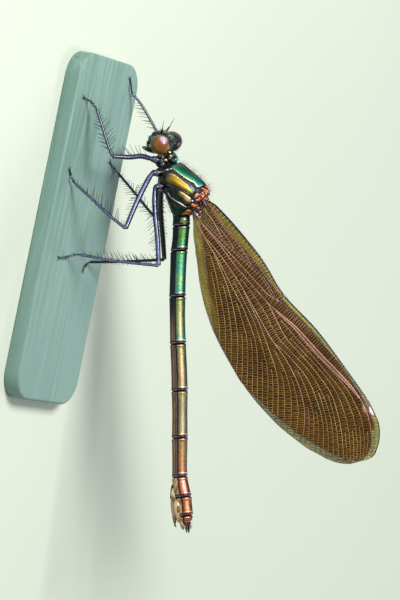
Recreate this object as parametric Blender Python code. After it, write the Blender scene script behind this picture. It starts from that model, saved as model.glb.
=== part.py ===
"""A life-size museum model of a female beautiful demoiselle, a metallic green damselfly.

It stands on a plain base, body along X with the head at -X, wings closed over its back.
Units are metres in the file's meshes; the constants below are in millimetres.

The body was laid out on a SIDE DRAWING, looked at from the insect's left: u runs to the
right and v runs down, one drawing unit is UNIT mm, and the drawing is seen from
EYE_DISTANCE mm away. Its up direction is the way from tail to head. side() puts a drawing
point on a plane parallel to the insect's plane of symmetry, and down() puts one at a
height over the base's top.
"""

import math

import bmesh
import bpy
from mathutils import Matrix, Vector

MM = 0.001

# ---- the base -----------------------------------------------------------------------
BASE_LENGTH = 40.0
BASE_WIDTH = 15.0
BASE_HEIGHT = 2.0
BASE_CORNER = 3.0
BASE_EDGE = 0.35
GAP = 0.05  # between solids that touch
BIG_GAP = 0.06

# ---- the side drawing ---------------------------------------------------------------
UNIT = 0.114
EYE_DISTANCE = 450.0
LOOK_DOWN = math.radians(25.0)  # how far the drawing looks down on the base
ROW_LEAN = math.radians(11.5)  # lean of the row of feet against the drawing's upright
BODY_ROLL = math.radians(9.0)  # the back is turned this far toward the drawing's eye
BODY_AXIS_U = 179.0
DRAWING_MIDDLE = (200.0, 300.0)
FEET_BELOW_MIDDLE = 14.08  # base top to the drawing's middle point, along Z
MIDDLE_X = 5.0
MIDDLE_Y = 5.4
MIDDLE_Z = BASE_HEIGHT + FEET_BELOW_MIDDLE

RIGHT = Vector(
    (
        -math.sin(ROW_LEAN),
        math.sin(LOOK_DOWN) * math.cos(ROW_LEAN),
        math.cos(LOOK_DOWN) * math.cos(ROW_LEAN),
    )
)
UP = Vector(
    (
        -math.cos(ROW_LEAN),
        -math.sin(LOOK_DOWN) * math.sin(ROW_LEAN),
        -math.cos(LOOK_DOWN) * math.sin(ROW_LEAN),
    )
)
BACK = Vector((0.0, -math.cos(LOOK_DOWN), math.sin(LOOK_DOWN)))
MIDDLE = Vector((MIDDLE_X, MIDDLE_Y, MIDDLE_Z))
LEFT = -math.sin(BODY_ROLL) * RIGHT + math.cos(BODY_ROLL) * BACK  # the insect's left
DORSAL = math.cos(BODY_ROLL) * RIGHT + math.sin(BODY_ROLL) * BACK  # its back

# ---- wings --------------------------------------------------------------------------
WING_THICK = 0.5
WING_STEP = 0.6  # from one wing's middle to the next
FORE_ROOT, FORE_AXIS, FORE_SPAN = (205.0, 203.0), (0.597, 0.802), 302.0
HIND_ROOT, HIND_AXIS, HIND_SPAN = (198.0, 215.0), (0.597, 0.802), 293.0
# share of the span, then the leading and the trailing edge's distance from the axis
FORE_EDGES = (
    (-0.03, 3.0, 0.0),
    (0.0, 5.0, -5.0),
    (0.03, 8.0, -12.5),
    (0.10, 10.6, -23.5),
    (0.19, 12.2, -39.5),
    (0.27, 12.5, -53.8),
    (0.40, 9.0, -68.5),
    (0.56, 14.3, -77.8),
    (0.73, 14.4, -74.5),
    (0.85, 13.2, -65.0),
    (0.92, 9.2, -55.5),
    (0.95, 4.5, -49.0),
    (0.98, -3.0, -38.0),
    (1.0, -12.5, -22.0),
)
HIND_EDGES = (
    (-0.035, 2.0, -2.0),
    (0.0, 2.5, -6.5),
    (0.05, 3.9, -16.5),
    (0.10, 5.8, -25.0),
    (0.20, 10.5, -41.0),
    (0.30, 15.4, -53.0),
    (0.385, 13.8, -59.5),
    (0.50, 19.2, -64.0),
    (0.56, 22.0, -65.0),
    (0.70, 25.4, -58.7),
    (0.80, 24.4, -51.5),
    (0.85, 22.0, -45.5),
    (0.92, 14.0, -37.0),
    (0.96, 7.0, -30.0),
    (0.985, 1.5, -24.5),
    (1.0, -7.0, -16.0),
)

# ---- trunk: ventral u,v, dorsal u,v, half width in mm, how much narrower the back is --
NECK = (
    (165.0, 150.6, 170.4, 149.8, 0.42, 0.0),
    (163.2, 153.0, 172.4, 152.2, 0.75, 0.05),
    (161.2, 156.6, 176.2, 155.4, 1.15, 0.1),
    (160.6, 160.0, 177.8, 158.8, 1.30, 0.1),
    (161.6, 163.2, 176.4, 161.2, 1.10, 0.1),
)
TRUNK = (
    (161.4, 165.0, 177.0, 162.2, 1.20, 0.15),
    (160.2, 170.0, 185.0, 166.0, 1.85, 0.30),
    (160.2, 177.5, 193.0, 172.5, 2.30, 0.38),
    (162.4, 185.0, 200.5, 178.8, 2.50, 0.38),
    (164.4, 192.5, 206.5, 185.8, 2.50, 0.32),
    (166.6, 199.5, 209.0, 192.4, 2.35, 0.25),
    (168.8, 206.0, 206.0, 202.0, 2.05, 0.18),
    (171.0, 211.6, 197.5, 211.2, 1.60, 0.10),
    (173.0, 216.2, 190.0, 216.2, 1.05, 0.0),
)

# ---- abdomen: v of each joint, then the outline's ventral and dorsal u at some v -----
JOINTS = (217.0, 226.0, 251.0, 297.0, 344.0, 391.0, 438.0, 477.0, 497.0, 516.0, 525.5)
OUTLINE = (
    (217.0, 173.0, 190.0),
    (235.0, 172.5, 189.0),
    (255.0, 170.5, 187.0),
    (295.0, 169.5, 185.4),
    (335.0, 170.0, 185.5),
    (375.0, 171.3, 187.3),
    (410.0, 172.0, 187.5),
    (450.0, 172.0, 187.4),
    (477.0, 172.3, 187.2),
    (490.0, 173.0, 189.8),
    (498.0, 176.0, 191.3),
    (512.0, 177.0, 192.6),
    (520.0, 178.6, 192.0),
    (526.0, 180.5, 190.5),
)
ABDOMEN_FLAT = 0.92  # width over height
JOINT_SWELL = 0.35  # units by which a segment's two ends stand proud

# ---- head: a frame of its own, in the drawing's axes ---------------------------------
HEAD_AT = (165.4, 141.5)
HEAD_LEFT = (-0.3311, -0.1405, 0.9331)
HEAD_FRONT = (-0.8588, 0.4546, -0.2363)
HEAD_TOP = (0.3910, 0.8796, 0.2712)
EYE_AT = (2.05, 0.0, 0.0)  # left, front, top
EYE_SIZE = (0.98, 1.08, 1.10)
ANTENNA_AT = (0.75, 0.62, 0.78)
ANTENNA_LEAN = (1.10, 0.04, 1.74)

# ---- legs: drawing u, v, and mm to the insect's left ---------------------------------
LEG_ROOT_RADIUS = 0.50
FEMUR_RADIUS = 0.29
TIBIA_RADIUS = 0.25
TARSUS_RADIUS = 0.25
FOOT = 0.20  # height of a foot's axis over the base
LEGS = {
    "fore_left": (
        ((161.5, 161.5, 0.9), (156.0, 159.8, 1.5), (150.6, 158.6, 1.9)),
        ((141.0, 156.2, 2.8), (129.0, 157.2, 3.8), (112.5, 156.2, 4.9)),
        ((108.0, 145.0, 5.0), (101.0, 122.0, 4.9), (96.8, 110.0, 4.8)),
        ((93.5, 104.5), (89.5, 101.0), (84.0, 97.3)),
        (0.75, 0.30),
    ),
    "mid_left": (
        ((162.5, 172.5, 1.1), (157.0, 172.8, 1.6), (151.6, 174.4, 2.0)),
        ((145.0, 185.5, 2.9), (136.0, 204.0, 4.0), (125.6, 228.6, 5.2)),
        ((112.0, 217.5, 5.3), (92.0, 199.0, 5.3), (75.5, 184.0, 5.2)),
        ((72.6, 179.5), (71.0, 175.0), (69.6, 169.0)),
        (0.30, 0.10),
    ),
    "hind_left": (
        ((165.5, 186.0, 1.2), (160.0, 186.5, 1.7), (155.0, 190.5, 2.1)),
        ((155.2, 214.0, 2.5), (157.6, 240.0, 2.9), (158.6, 265.6, 3.2)),
        ((140.0, 263.8, 3.3), (110.0, 260.2, 3.2), (80.0, 254.6, 3.0)),
        ((74.0, 254.8), (67.0, 256.8), (59.0, 258.0)),
        (0.75, 0.30),
    ),
    "fore_right": (
        ((163.0, 160.5, -0.9), (161.0, 158.6, -1.6), (159.6, 155.6, -2.2)),
        ((159.4, 150.0, -3.2), (159.2, 143.0, -4.1), (158.6, 135.4, -4.9)),
        ((152.6, 123.8, -5.0), (142.0, 105.6, -5.0), (132.0, 92.6, -4.9)),
        ((131.2, 88.0), (130.8, 83.5), (130.0, 78.6)),
        (0.15, 0.05),
    ),
    "mid_right": (
        ((164.6, 171.5, -1.1), (162.0, 173.0, -1.8), (160.6, 176.6, -2.4)),
        ((159.6, 191.0, -3.3), (158.6, 205.0, -4.2), (157.6, 220.6, -5.2)),
        ((148.0, 209.4, -5.3), (132.0, 189.6, -5.3), (118.4, 173.6, -5.2)),
        ((115.4, 169.8), (112.8, 166.2), (110.0, 162.0)),
        (0.15, 0.05),
    ),
    "hind_right": (
        ((167.5, 186.0, -1.2), (164.0, 188.0, -1.8), (161.4, 192.5, -2.3)),
        ((161.0, 215.0, -2.8), (163.0, 240.0, -3.3), (164.4, 259.6, -3.6)),
        ((145.0, 260.6, -3.3), (115.0, 261.8, -2.7), (90.0, 262.0, -2.1)),
        ((87.0, 264.0), (84.8, 266.8), (83.0, 270.4)),
        (0.15, 0.05),
    ),
}


# ---- placing ------------------------------------------------------------------------
def world(drawing):
    """A point in the drawing's own axes (right, up, toward the eye; mm), placed in mm."""
    return MIDDLE + drawing[0] * RIGHT + drawing[1] * UP + drawing[2] * BACK


def sight(u, v):
    eye = Vector((0.0, 0.0, EYE_DISTANCE))
    mark = Vector(
        ((u - DRAWING_MIDDLE[0]) * UNIT, (DRAWING_MIDDLE[1] - v) * UNIT, 0.0)
    )
    return eye, mark - eye


def side(u, v, left=0.0):
    eye, ray = sight(u, v)
    across = Vector((-math.sin(BODY_ROLL), 0.0, math.cos(BODY_ROLL)))
    start = Vector(((BODY_AXIS_U - DRAWING_MIDDLE[0]) * UNIT, 0.0, 0.0))
    reach = (left - across.dot(eye - start)) / across.dot(ray)
    return world(eye + reach * ray)


def down(u, v, height):
    eye, ray = sight(u, v)
    heights = Vector((RIGHT.z, UP.z, BACK.z))
    reach = (height - FEET_BELOW_MIDDLE - heights.dot(eye)) / heights.dot(ray)
    return world(eye + reach * ray)


def head(left, front, top):
    at = side(*HEAD_AT)
    for amount, axis in ((left, HEAD_LEFT), (front, HEAD_FRONT), (top, HEAD_TOP)):
        at = at + amount * (axis[0] * RIGHT + axis[1] * UP + axis[2] * BACK)
    return at


# ---- making -------------------------------------------------------------------------
def material(name, colour, rough, metal):
    made = bpy.data.materials.new(name)
    made.use_nodes = True
    shader = made.node_tree.nodes["Principled BSDF"]
    shader.inputs["Base Color"].default_value = (*colour, 1.0)
    shader.inputs["Roughness"].default_value = rough
    shader.inputs["Metallic"].default_value = metal
    made.diffuse_color = (*colour, 1.0)
    return made


def finish(name, bm, colour, rough=0.4, metal=0.0, helper=False):
    """The bmesh, in mm, as an object whose origin is at its middle."""
    bmesh.ops.remove_doubles(bm, verts=bm.verts, dist=1e-5)
    bmesh.ops.recalc_face_normals(bm, faces=bm.faces)
    if bm.calc_volume(signed=True) < 0:
        bmesh.ops.reverse_faces(bm, faces=bm.faces)
    middle = sum((v.co for v in bm.verts), Vector()) / len(bm.verts)
    for v in bm.verts:
        v.co = (v.co - middle) * MM
    mesh = bpy.data.meshes.new(name)
    bm.to_mesh(mesh)
    bm.free()
    obj = bpy.data.objects.new(name, mesh)
    obj.location = middle * MM
    bpy.context.collection.objects.link(obj)
    if helper:
        obj.hide_render = True
        obj.display_type = "WIRE"
    else:
        mesh.materials.append(material(name, colour, rough, metal))
        mesh.shade_smooth()
        mesh.set_sharp_from_angle(angle=math.radians(40))
    return obj


def bridge(bm, rings):
    """Joins rings of equal count and closes both ends with a fan."""
    made = [[bm.verts.new(p) for p in ring] for ring in rings]
    count = len(made[0])
    for first, second in zip(made, made[1:]):
        for i in range(count):
            j = (i + 1) % count
            bm.faces.new((first[i], first[j], second[j], second[i]))
    for ring in (made[0], made[-1]):
        hub = bm.verts.new(sum((v.co for v in ring), Vector()) / count)
        for i in range(count):
            bm.faces.new((ring[i], ring[(i + 1) % count], hub))


def smooth(values, position):
    """Catmull-Rom through rows of numbers, position counted in rows."""
    last = len(values) - 1
    i = min(int(position), last - 1)
    f = position - i
    rows = [values[max(0, min(last, k))] for k in (i - 1, i, i + 1, i + 2)]
    return tuple(
        0.5
        * (
            2 * b
            + (c - a) * f
            + (2 * a - 5 * b + 4 * c - d) * f * f
            + (3 * b - a - 3 * c + d) * f**3
        )
        for a, b, c, d in zip(*rows)
    )


def at_key(rows, key):
    """Smooth values of rows sorted by their first number, at that number."""
    for i in range(len(rows) - 1):
        if key <= rows[i + 1][0] or i == len(rows) - 2:
            share = (key - rows[i][0]) / (rows[i + 1][0] - rows[i][0])
            return smooth(rows, i + max(0.0, min(1.0, share)))
    return rows[-1]


def trunk_ring(station, sides):
    """An oval between a ventral and a dorsal point, narrower toward the back."""
    vu, vv, du, dv, half, narrow = station
    low, high = side(vu, vv), side(du, dv)
    middle, rise = (low + high) / 2, (high - low) / 2
    ring = []
    for k in range(sides):
        turn = 2 * math.pi * k / sides
        c, s = math.cos(turn), math.sin(turn)
        width = half * (1 - narrow * c)
        ring.append(middle + rise * c + LEFT * width * s)
    return ring


def trunk(name, stations, steps, sides, colour, rough, metal):
    bm = bmesh.new()
    count = (len(stations) - 1) * steps
    bridge(
        bm,
        [trunk_ring(smooth(stations, i / steps), sides) for i in range(count + 1)],
    )
    return finish(name, bm, colour, rough, metal)


def rod(bm, points, radii, sides=8, floor=None):
    """A tapered round bar along a path, kept above a floor height."""
    directions = []
    for i in range(len(points)):
        a, b = points[max(0, i - 1)], points[min(len(points) - 1, i + 1)]
        directions.append((b - a).normalized())
    across = directions[0].orthogonal().normalized()
    rings = []
    for point, radius, way in zip(points, radii, directions):
        across = (across - way * across.dot(way)).normalized()
        other = way.cross(across)
        ring = []
        for k in range(sides):
            turn = 2 * math.pi * k / sides
            p = point + radius * (math.cos(turn) * across + math.sin(turn) * other)
            if floor is not None:
                p.z = max(p.z, floor)
            ring.append(p)
        rings.append(ring)
    bridge(bm, rings)


def path_through(points, steps):
    rows = [tuple(p) for p in points]
    return [
        Vector(smooth(rows, i / steps)) for i in range((len(rows) - 1) * steps + 1)
    ]


def ball(bm, middle, sizes, axes, across=12, rings=8):
    """An ellipsoid with its own axes."""
    made = bmesh.ops.create_uvsphere(bm, u_segments=across, v_segments=rings, radius=1.0)
    for v in made["verts"]:
        c = v.co.copy()
        v.co = middle + sum(
            (axes[k] * (c[k] * sizes[k]) for k in range(3)), Vector((0, 0, 0))
        )


def use_boolean(obj, other, how):
    cut = obj.modifiers.new(how.title(), "BOOLEAN")
    cut.operation = how
    cut.object = other
    cut.solver = "EXACT"


def grown(obj, by):
    """A hidden copy of a solid, larger all round, that trims its neighbour."""
    source = obj.evaluated_get(bpy.context.evaluated_depsgraph_get())
    bm = bmesh.new()
    bm.from_mesh(source.to_mesh())
    source.to_mesh_clear()
    for v in bm.verts:
        v.co = obj.matrix_world @ v.co / MM
    bmesh.ops.recalc_face_normals(bm, faces=bm.faces)
    bm.normal_update()
    moved = [v.co + v.normal * by for v in bm.verts]
    for v, p in zip(bm.verts, moved):
        v.co = p
    return finish("trim_" + obj.name, bm, None, helper=True)


# ---- the parts ----------------------------------------------------------------------
def make_base():
    bm = bmesh.new()
    corners = []
    x, y = BASE_LENGTH / 2 - BASE_CORNER, BASE_WIDTH / 2 - BASE_CORNER
    for i, (cx, cy) in enumerate(((x, y), (-x, y), (-x, -y), (x, -y))):
        for k in range(7):
            turn = math.pi / 2 * (i + k / 6)
            corners.append((cx, cy, math.cos(turn), math.sin(turn)))
    rings = []
    for height, inset in (
        (0.0, BASE_EDGE * 0.5),
        (BASE_EDGE * 0.5, 0.0),
        (BASE_HEIGHT - BASE_EDGE, 0.0),
        (BASE_HEIGHT, BASE_EDGE),
    ):
        reach = BASE_CORNER - inset
        rings.append(
            [Vector((cx + c * reach, cy + s * reach, height)) for cx, cy, c, s in corners]
        )
    bridge(bm, rings)
    return finish("stand_base", bm, (0.42, 0.50, 0.44), 0.6)


def make_head():
    axes = [
        axis[0] * RIGHT + axis[1] * UP + axis[2] * BACK
        for axis in (HEAD_LEFT, HEAD_FRONT, HEAD_TOP)
    ]
    lumps = (
        ((0.0, -0.15, -0.10), (1.75, 0.80, 1.10)),  # capsule
        ((0.0, 0.40, 0.62), (1.20, 0.72, 0.50)),  # vertex
        ((0.0, 1.22, 0.18), (0.98, 0.64, 0.60)),  # frons
        ((0.0, 1.60, -0.38), (0.92, 0.50, 0.45)),  # clypeus
        ((0.0, 1.62, -0.95), (0.80, 0.40, 0.36)),  # labrum
        ((1.05, 0.62, -0.78), (0.55, 0.55, 0.55)),  # left cheek
        ((-1.05, 0.62, -0.78), (0.55, 0.55, 0.55)),
        ((1.58, -0.22, -0.13), (0.86, 0.95, 1.02)),  # behind the left eye
        ((-1.58, -0.22, -0.13), (0.86, 0.95, 1.02)),
    )
    first, helpers = None, []
    for i, (at, sizes) in enumerate(lumps):
        bm = bmesh.new()
        ball(bm, head(*at), sizes, axes, 14 if i == 0 else 12, 8)
        if first is None:
            first = finish("head", bm, (0.02, 0.08, 0.07), 0.35, 0.5)
        else:
            helpers.append(finish(f"lump_{i}", bm, None, helper=True))
    for other in helpers:
        use_boolean(first, other, "UNION")
    eyes = []
    for name, sign in (("eye_left", 1.0), ("eye_right", -1.0)):
        at = head(sign * EYE_AT[0], EYE_AT[1], EYE_AT[2])
        bm = bmesh.new()
        ball(bm, at, EYE_SIZE, axes, 18, 12)
        eyes.append(finish(name, bm, (0.28, 0.12, 0.02), 0.15))
        bm = bmesh.new()
        ball(bm, at, [s + GAP for s in EYE_SIZE], axes, 18, 12)
        use_boolean(first, finish("socket_" + name, bm, None, helper=True), "DIFFERENCE")
    bm = bmesh.new()
    rings = []
    for front, top, half, deep in (
        (0.10, -1.30, 0.70, 0.25),
        (0.60, -1.62, 0.85, 0.28),
        (1.20, -1.78, 0.70, 0.26),
        (1.70, -1.84, 0.52, 0.25),
        (2.15, -1.78, 0.32, 0.25),
    ):
        ring = []
        for k in range(10):
            turn = 2 * math.pi * k / 10
            ring.append(head(half * math.cos(turn), front, top + deep * math.sin(turn)))
        rings.append(ring)
    bridge(bm, rings)
    mouth = finish("mouthparts", bm, (0.01, 0.02, 0.03), 0.4)
    for name, sign in (("antenna_left", 1.0), ("antenna_right", -1.0)):
        start = Vector((sign * ANTENNA_AT[0], *ANTENNA_AT[1:]))
        lean = Vector((sign * ANTENNA_LEAN[0], *ANTENNA_LEAN[1:]))
        points = [head(*(start + lean * t)) for t in (-0.05, 0.3, 0.65, 1.0)]
        bm = bmesh.new()
        rod(bm, points, (0.27, 0.26, 0.25, 0.25), 8)
        finish(name, bm, (0.01, 0.03, 0.02), 0.4)
    return first, mouth, eyes


def make_abdomen():
    made = []
    for i in range(10):
        start, end = JOINTS[i], JOINTS[i + 1]
        half_gap = BIG_GAP / UNIT / 2
        bm = bmesh.new()
        rings = []
        for share in (0.0, 0.06, 0.16, 0.5, 0.84, 0.94, 1.0):
            v = start + half_gap + (end - start - 2 * half_gap) * share
            _, low, high = at_key(OUTLINE, v)
            swell = JOINT_SWELL if share in (0.06, 0.94) else 0.0
            # the last joints slant with the tip's own lean
            slant = 0.0 if i < 7 else -0.9 * (1 if i < 9 or share < 0.5 else 0.3)
            half = (high - low) / 2 * UNIT * ABDOMEN_FLAT + swell * UNIT
            if i == 9 and share == 1.0:
                low, high, half = low + 1.5, high - 1.5, half * 0.75
            rings.append(
                trunk_ring(
                    (low - swell, v - slant, high + swell, v + slant, half, 0.0), 14
                )
            )
        bridge(bm, rings)
        made.append(
            finish(f"abdomen_s{i + 1}", bm, (0.05 + 0.05 * i, 0.22, 0.12), 0.3, 0.7)
        )
    for k, sign in enumerate((1.0, -1.0)):
        bm = bmesh.new()
        rod(
            bm,
            [
                side(187.0, 523.0, 0.42 * sign),
                side(187.6, 528.0, 0.46 * sign),
                side(187.4, 531.5, 0.40 * sign),
            ],
            (0.26, 0.25, 0.25),
            8,
        )
        use_boolean(made[9], finish(f"cercus_{k}", bm, None, helper=True), "UNION")
    bm = bmesh.new()
    rings = []
    for v, low, high, half in (
        (497.6, 169.8, 174.8, 0.34),
        (502.0, 169.9, 175.6, 0.48),
        (509.0, 170.8, 176.1, 0.50),
        (517.0, 172.0, 177.1, 0.46),
        (522.0, 173.2, 178.0, 0.36),
        (526.0, 174.6, 179.0, 0.26),
    ):
        rings.append(trunk_ring((low, v, high, v, half, 0.0), 10))
    bridge(bm, rings)
    tube = finish("ovipositor", bm, (0.30, 0.13, 0.07), 0.4, 0.2)
    return made, tube


def make_legs(bodies):
    for name, (root, thigh, shin, foot, lift) in LEGS.items():
        points = path_through([side(*p) for p in root + thigh], 2)
        radii = []
        for i in range(len(points)):
            share = i / (len(points) - 1)
            radii.append(
                LEG_ROOT_RADIUS
                + (FEMUR_RADIUS - LEG_ROOT_RADIUS) * min(1.0, share / 0.45)
            )
        bm = bmesh.new()
        rod(bm, points, radii, 8)
        femur = finish("femur_" + name, bm, (0.02, 0.03, 0.09), 0.3, 0.3)
        for body in bodies:
            use_boolean(femur, body, "DIFFERENCE")

        knee = side(*thigh[-1])
        first = side(*shin[0])
        way = (first - knee).normalized()
        start = knee + way * (FEMUR_RADIUS + GAP)
        points = path_through([start] + [side(*p) for p in shin], 2)
        bm = bmesh.new()
        rod(bm, points, [TIBIA_RADIUS] * len(points), 8, BASE_HEIGHT + GAP)
        finish("tibia_" + name, bm, (0.02, 0.03, 0.09), 0.3, 0.3)

        ankle = side(*shin[-1])
        heights = [FOOT + lift[0], FOOT + lift[1], FOOT]
        toes = [down(*p, h) for p, h in zip(foot, heights)]
        way = (toes[0] - ankle).normalized()
        toes = [ankle + way * (GAP + 0.10)] + toes
        tip = toes[-1] + (toes[-1] - toes[-2]).normalized() * 0.2
        points = path_through(toes, 2) + [tip]
        radii = [TARSUS_RADIUS] * (len(points) - 1) + [TARSUS_RADIUS * 0.6]
        bm = bmesh.new()
        rod(bm, points, radii, 8, BASE_HEIGHT + GAP)
        finish("tarsus_" + name, bm, (0.02, 0.03, 0.09), 0.3, 0.3)


def make_wing(name, root, axis, span, edges, left, trims):
    """A plate WING_THICK thick between a leading and a trailing edge."""
    across = (axis[1], -axis[0])
    shares = [edges[0][0], 0.0, 0.015, 0.03, 0.06] + [0.10 + 0.05 * k for k in range(17)]
    shares += [0.93, 0.955, 0.975, 0.99, 1.0]
    faces = []
    for share in shares:
        _, lead, trail = at_key(edges, share)
        for offset in (lead, trail):
            u = root[0] + axis[0] * share * span + across[0] * offset
            v = root[1] + axis[1] * share * span + across[1] * offset
            faces.append((u, v))
    bm = bmesh.new()
    rings = []
    for i in range(0, len(faces), 2):
        (lu, lv), (tu, tv) = faces[i], faces[i + 1]
        half = WING_THICK / 2
        rings.append(
            [
                side(lu, lv, left + half),
                side(lu, lv, left - half),
                side(tu, tv, left - half),
                side(tu, tv, left + half),
            ]
        )
    bridge(bm, rings)
    wing = finish(name, bm, (0.22, 0.14, 0.04), 0.35)
    for trim in trims:
        use_boolean(wing, trim, "DIFFERENCE")
    return wing


def main():
    for obj in list(bpy.data.objects):
        bpy.data.objects.remove(obj, do_unlink=True)
    make_base()
    neck = trunk("prothorax", NECK, 2, 14, (0.02, 0.10, 0.06), 0.3, 0.6)
    chest = trunk("thorax", TRUNK, 2, 20, (0.05, 0.35, 0.18), 0.25, 0.8)
    skull, mouth, eyes = make_head()
    bpy.context.view_layer.update()
    neck_trim, chest_trim = grown(neck, GAP), grown(chest, GAP)
    use_boolean(skull, neck_trim, "DIFFERENCE")
    bpy.context.view_layer.update()
    skull_trim = grown(skull, GAP)
    use_boolean(mouth, skull_trim, "DIFFERENCE")
    for obj in list(bpy.data.objects):
        if obj.name.startswith("antenna"):
            use_boolean(obj, skull_trim, "DIFFERENCE")
    make_abdomen()
    make_legs((neck_trim, chest_trim))
    make_wing("wing_hind_left", HIND_ROOT, HIND_AXIS, HIND_SPAN, HIND_EDGES, 1.5 * WING_STEP, (chest_trim,))
    make_wing("wing_fore_left", FORE_ROOT, FORE_AXIS, FORE_SPAN, FORE_EDGES, 0.5 * WING_STEP, (chest_trim,))
    make_wing("wing_fore_right", FORE_ROOT, FORE_AXIS, FORE_SPAN, FORE_EDGES, -0.5 * WING_STEP, (chest_trim,))
    make_wing("wing_hind_right", HIND_ROOT, HIND_AXIS, HIND_SPAN, HIND_EDGES, -1.5 * WING_STEP, (chest_trim,))


main()
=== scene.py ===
"""The looks of the damselfly museum model: a female beautiful demoiselle at life size.

Units in the code are millimetres; meshes are written in metres. The body is laid out on
the same SIDE DRAWING as its solids: u runs right and v runs down, one unit is UNIT mm,
seen from EYE_DISTANCE mm away. side() puts a drawing point on a plane parallel to the
insect's plane of symmetry, and down() puts one at a height over the base's top.
"""

import math
import random

import bpy
import numpy as np
from mathutils import Matrix, Vector
from mathutils.bvhtree import BVHTree
from mathutils.geometry import delaunay_2d_cdt

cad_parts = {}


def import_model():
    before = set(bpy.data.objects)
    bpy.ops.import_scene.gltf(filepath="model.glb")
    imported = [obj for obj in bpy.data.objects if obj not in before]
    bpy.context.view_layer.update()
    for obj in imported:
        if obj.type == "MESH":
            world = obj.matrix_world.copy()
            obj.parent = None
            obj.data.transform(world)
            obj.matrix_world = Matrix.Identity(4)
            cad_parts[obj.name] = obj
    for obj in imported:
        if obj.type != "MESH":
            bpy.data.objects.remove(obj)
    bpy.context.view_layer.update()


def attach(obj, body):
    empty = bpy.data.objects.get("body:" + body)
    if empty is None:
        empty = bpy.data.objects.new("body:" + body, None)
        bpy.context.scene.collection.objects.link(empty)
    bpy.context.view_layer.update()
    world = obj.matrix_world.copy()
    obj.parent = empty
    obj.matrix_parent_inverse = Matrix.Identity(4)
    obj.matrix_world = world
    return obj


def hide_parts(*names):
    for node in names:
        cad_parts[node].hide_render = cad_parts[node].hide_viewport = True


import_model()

MM = 0.001

# ---- the side drawing, as in the solids ---------------------------------------------
BASE_LENGTH, BASE_WIDTH, BASE_HEIGHT, BASE_CORNER, BASE_EDGE = 40.0, 15.0, 2.0, 3.0, 0.35
UNIT = 0.114
EYE_DISTANCE = 450.0
LOOK_DOWN = math.radians(25.0)
ROW_LEAN = math.radians(11.5)
BODY_ROLL = math.radians(9.0)
BODY_AXIS_U = 179.0
FEET_BELOW_MIDDLE = 14.08
MIDDLE = np.array((5.0, 5.4, BASE_HEIGHT + FEET_BELOW_MIDDLE))
RIGHT = np.array(
    (
        -math.sin(ROW_LEAN),
        math.sin(LOOK_DOWN) * math.cos(ROW_LEAN),
        math.cos(LOOK_DOWN) * math.cos(ROW_LEAN),
    )
)
UP = np.array(
    (
        -math.cos(ROW_LEAN),
        -math.sin(LOOK_DOWN) * math.sin(ROW_LEAN),
        -math.cos(LOOK_DOWN) * math.sin(ROW_LEAN),
    )
)
BACK = np.array((0.0, -math.cos(LOOK_DOWN), math.sin(LOOK_DOWN)))
AXES = np.array((RIGHT, UP, BACK))
LEFT = -math.sin(BODY_ROLL) * RIGHT + math.cos(BODY_ROLL) * BACK
DORSAL = math.cos(BODY_ROLL) * RIGHT + math.sin(BODY_ROLL) * BACK
EYE = np.array((0.0, 0.0, EYE_DISTANCE))
ACROSS = np.array((-math.sin(BODY_ROLL), 0.0, math.cos(BODY_ROLL)))
START = np.array(((BODY_AXIS_U - 200.0) * UNIT, 0.0, 0.0))


def unit(v):
    v = np.asarray(v, float)
    return v / np.maximum(np.linalg.norm(v, axis=-1, keepdims=True), 1e-12)


def world(drawing):
    return MIDDLE + np.asarray(drawing) @ AXES


def ray_of(u, v):
    u, v = np.broadcast_arrays(np.asarray(u, float), np.asarray(v, float))
    return np.stack([(u - 200.0) * UNIT, (300.0 - v) * UNIT, 0.0 * u], -1) - EYE


def side(u, v, left=0.0):
    ray = ray_of(u, v)
    reach = (np.asarray(left, float) - ACROSS @ (EYE - START)) / (ray @ ACROSS)
    return world(EYE + reach[..., None] * ray)


def down(u, v, height):
    heights = AXES[:, 2]
    ray = ray_of(u, v)
    reach = (height - FEET_BELOW_MIDDLE - heights @ EYE) / (ray @ heights)
    return world(EYE + reach[..., None] * ray)


def seen(points):
    """The drawing's (u, v) of points in space."""
    d = (np.asarray(points) - MIDDLE) @ AXES.T
    k = EYE_DISTANCE / (EYE_DISTANCE - d[..., 2])
    return 200.0 + d[..., 0] * k / UNIT, 300.0 - d[..., 1] * k / UNIT


def left_of(points):
    return (np.asarray(points) - world(START)) @ LEFT


# ---- head frame ---------------------------------------------------------------------
HEAD_AT = (165.4, 141.5)
HEAD_LEFT = np.array((-0.3311, -0.1405, 0.9331)) @ AXES
HEAD_FRONT = np.array((-0.8588, 0.4546, -0.2363)) @ AXES
HEAD_TOP = np.array((0.3910, 0.8796, 0.2712)) @ AXES
HEAD_AXES = np.array((HEAD_LEFT, HEAD_FRONT, HEAD_TOP))
HEAD_MIDDLE = side(*HEAD_AT)


def head(points):
    return HEAD_MIDDLE + np.asarray(points, float) @ HEAD_AXES


# ---- curves -------------------------------------------------------------------------
def catmull(rows, position):
    """Smooth values of rows of numbers, position counted in rows."""
    rows = np.asarray(rows, float)
    position = np.atleast_1d(np.asarray(position, float))
    last = len(rows) - 1
    i = np.clip(position.astype(int), 0, last - 1)
    f = (position - i)[:, None]
    a, b, c, d = (rows[np.clip(i + k, 0, last)] for k in (-1, 0, 1, 2))
    return 0.5 * (
        2 * b
        + (c - a) * f
        + (2 * a - 5 * b + 4 * c - d) * f * f
        + (3 * b - a - 3 * c + d) * f**3
    )


def at_key(rows, key):
    """Smooth values of rows sorted by their first number, at those numbers."""
    rows = np.asarray(rows, float)
    key = np.atleast_1d(np.asarray(key, float))
    i = np.clip(np.searchsorted(rows[:, 0], key) - 1, 0, len(rows) - 2)
    share = (key - rows[i, 0]) / (rows[i + 1, 0] - rows[i, 0])
    return catmull(rows, i + np.clip(share, 0.0, 1.0))


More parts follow.
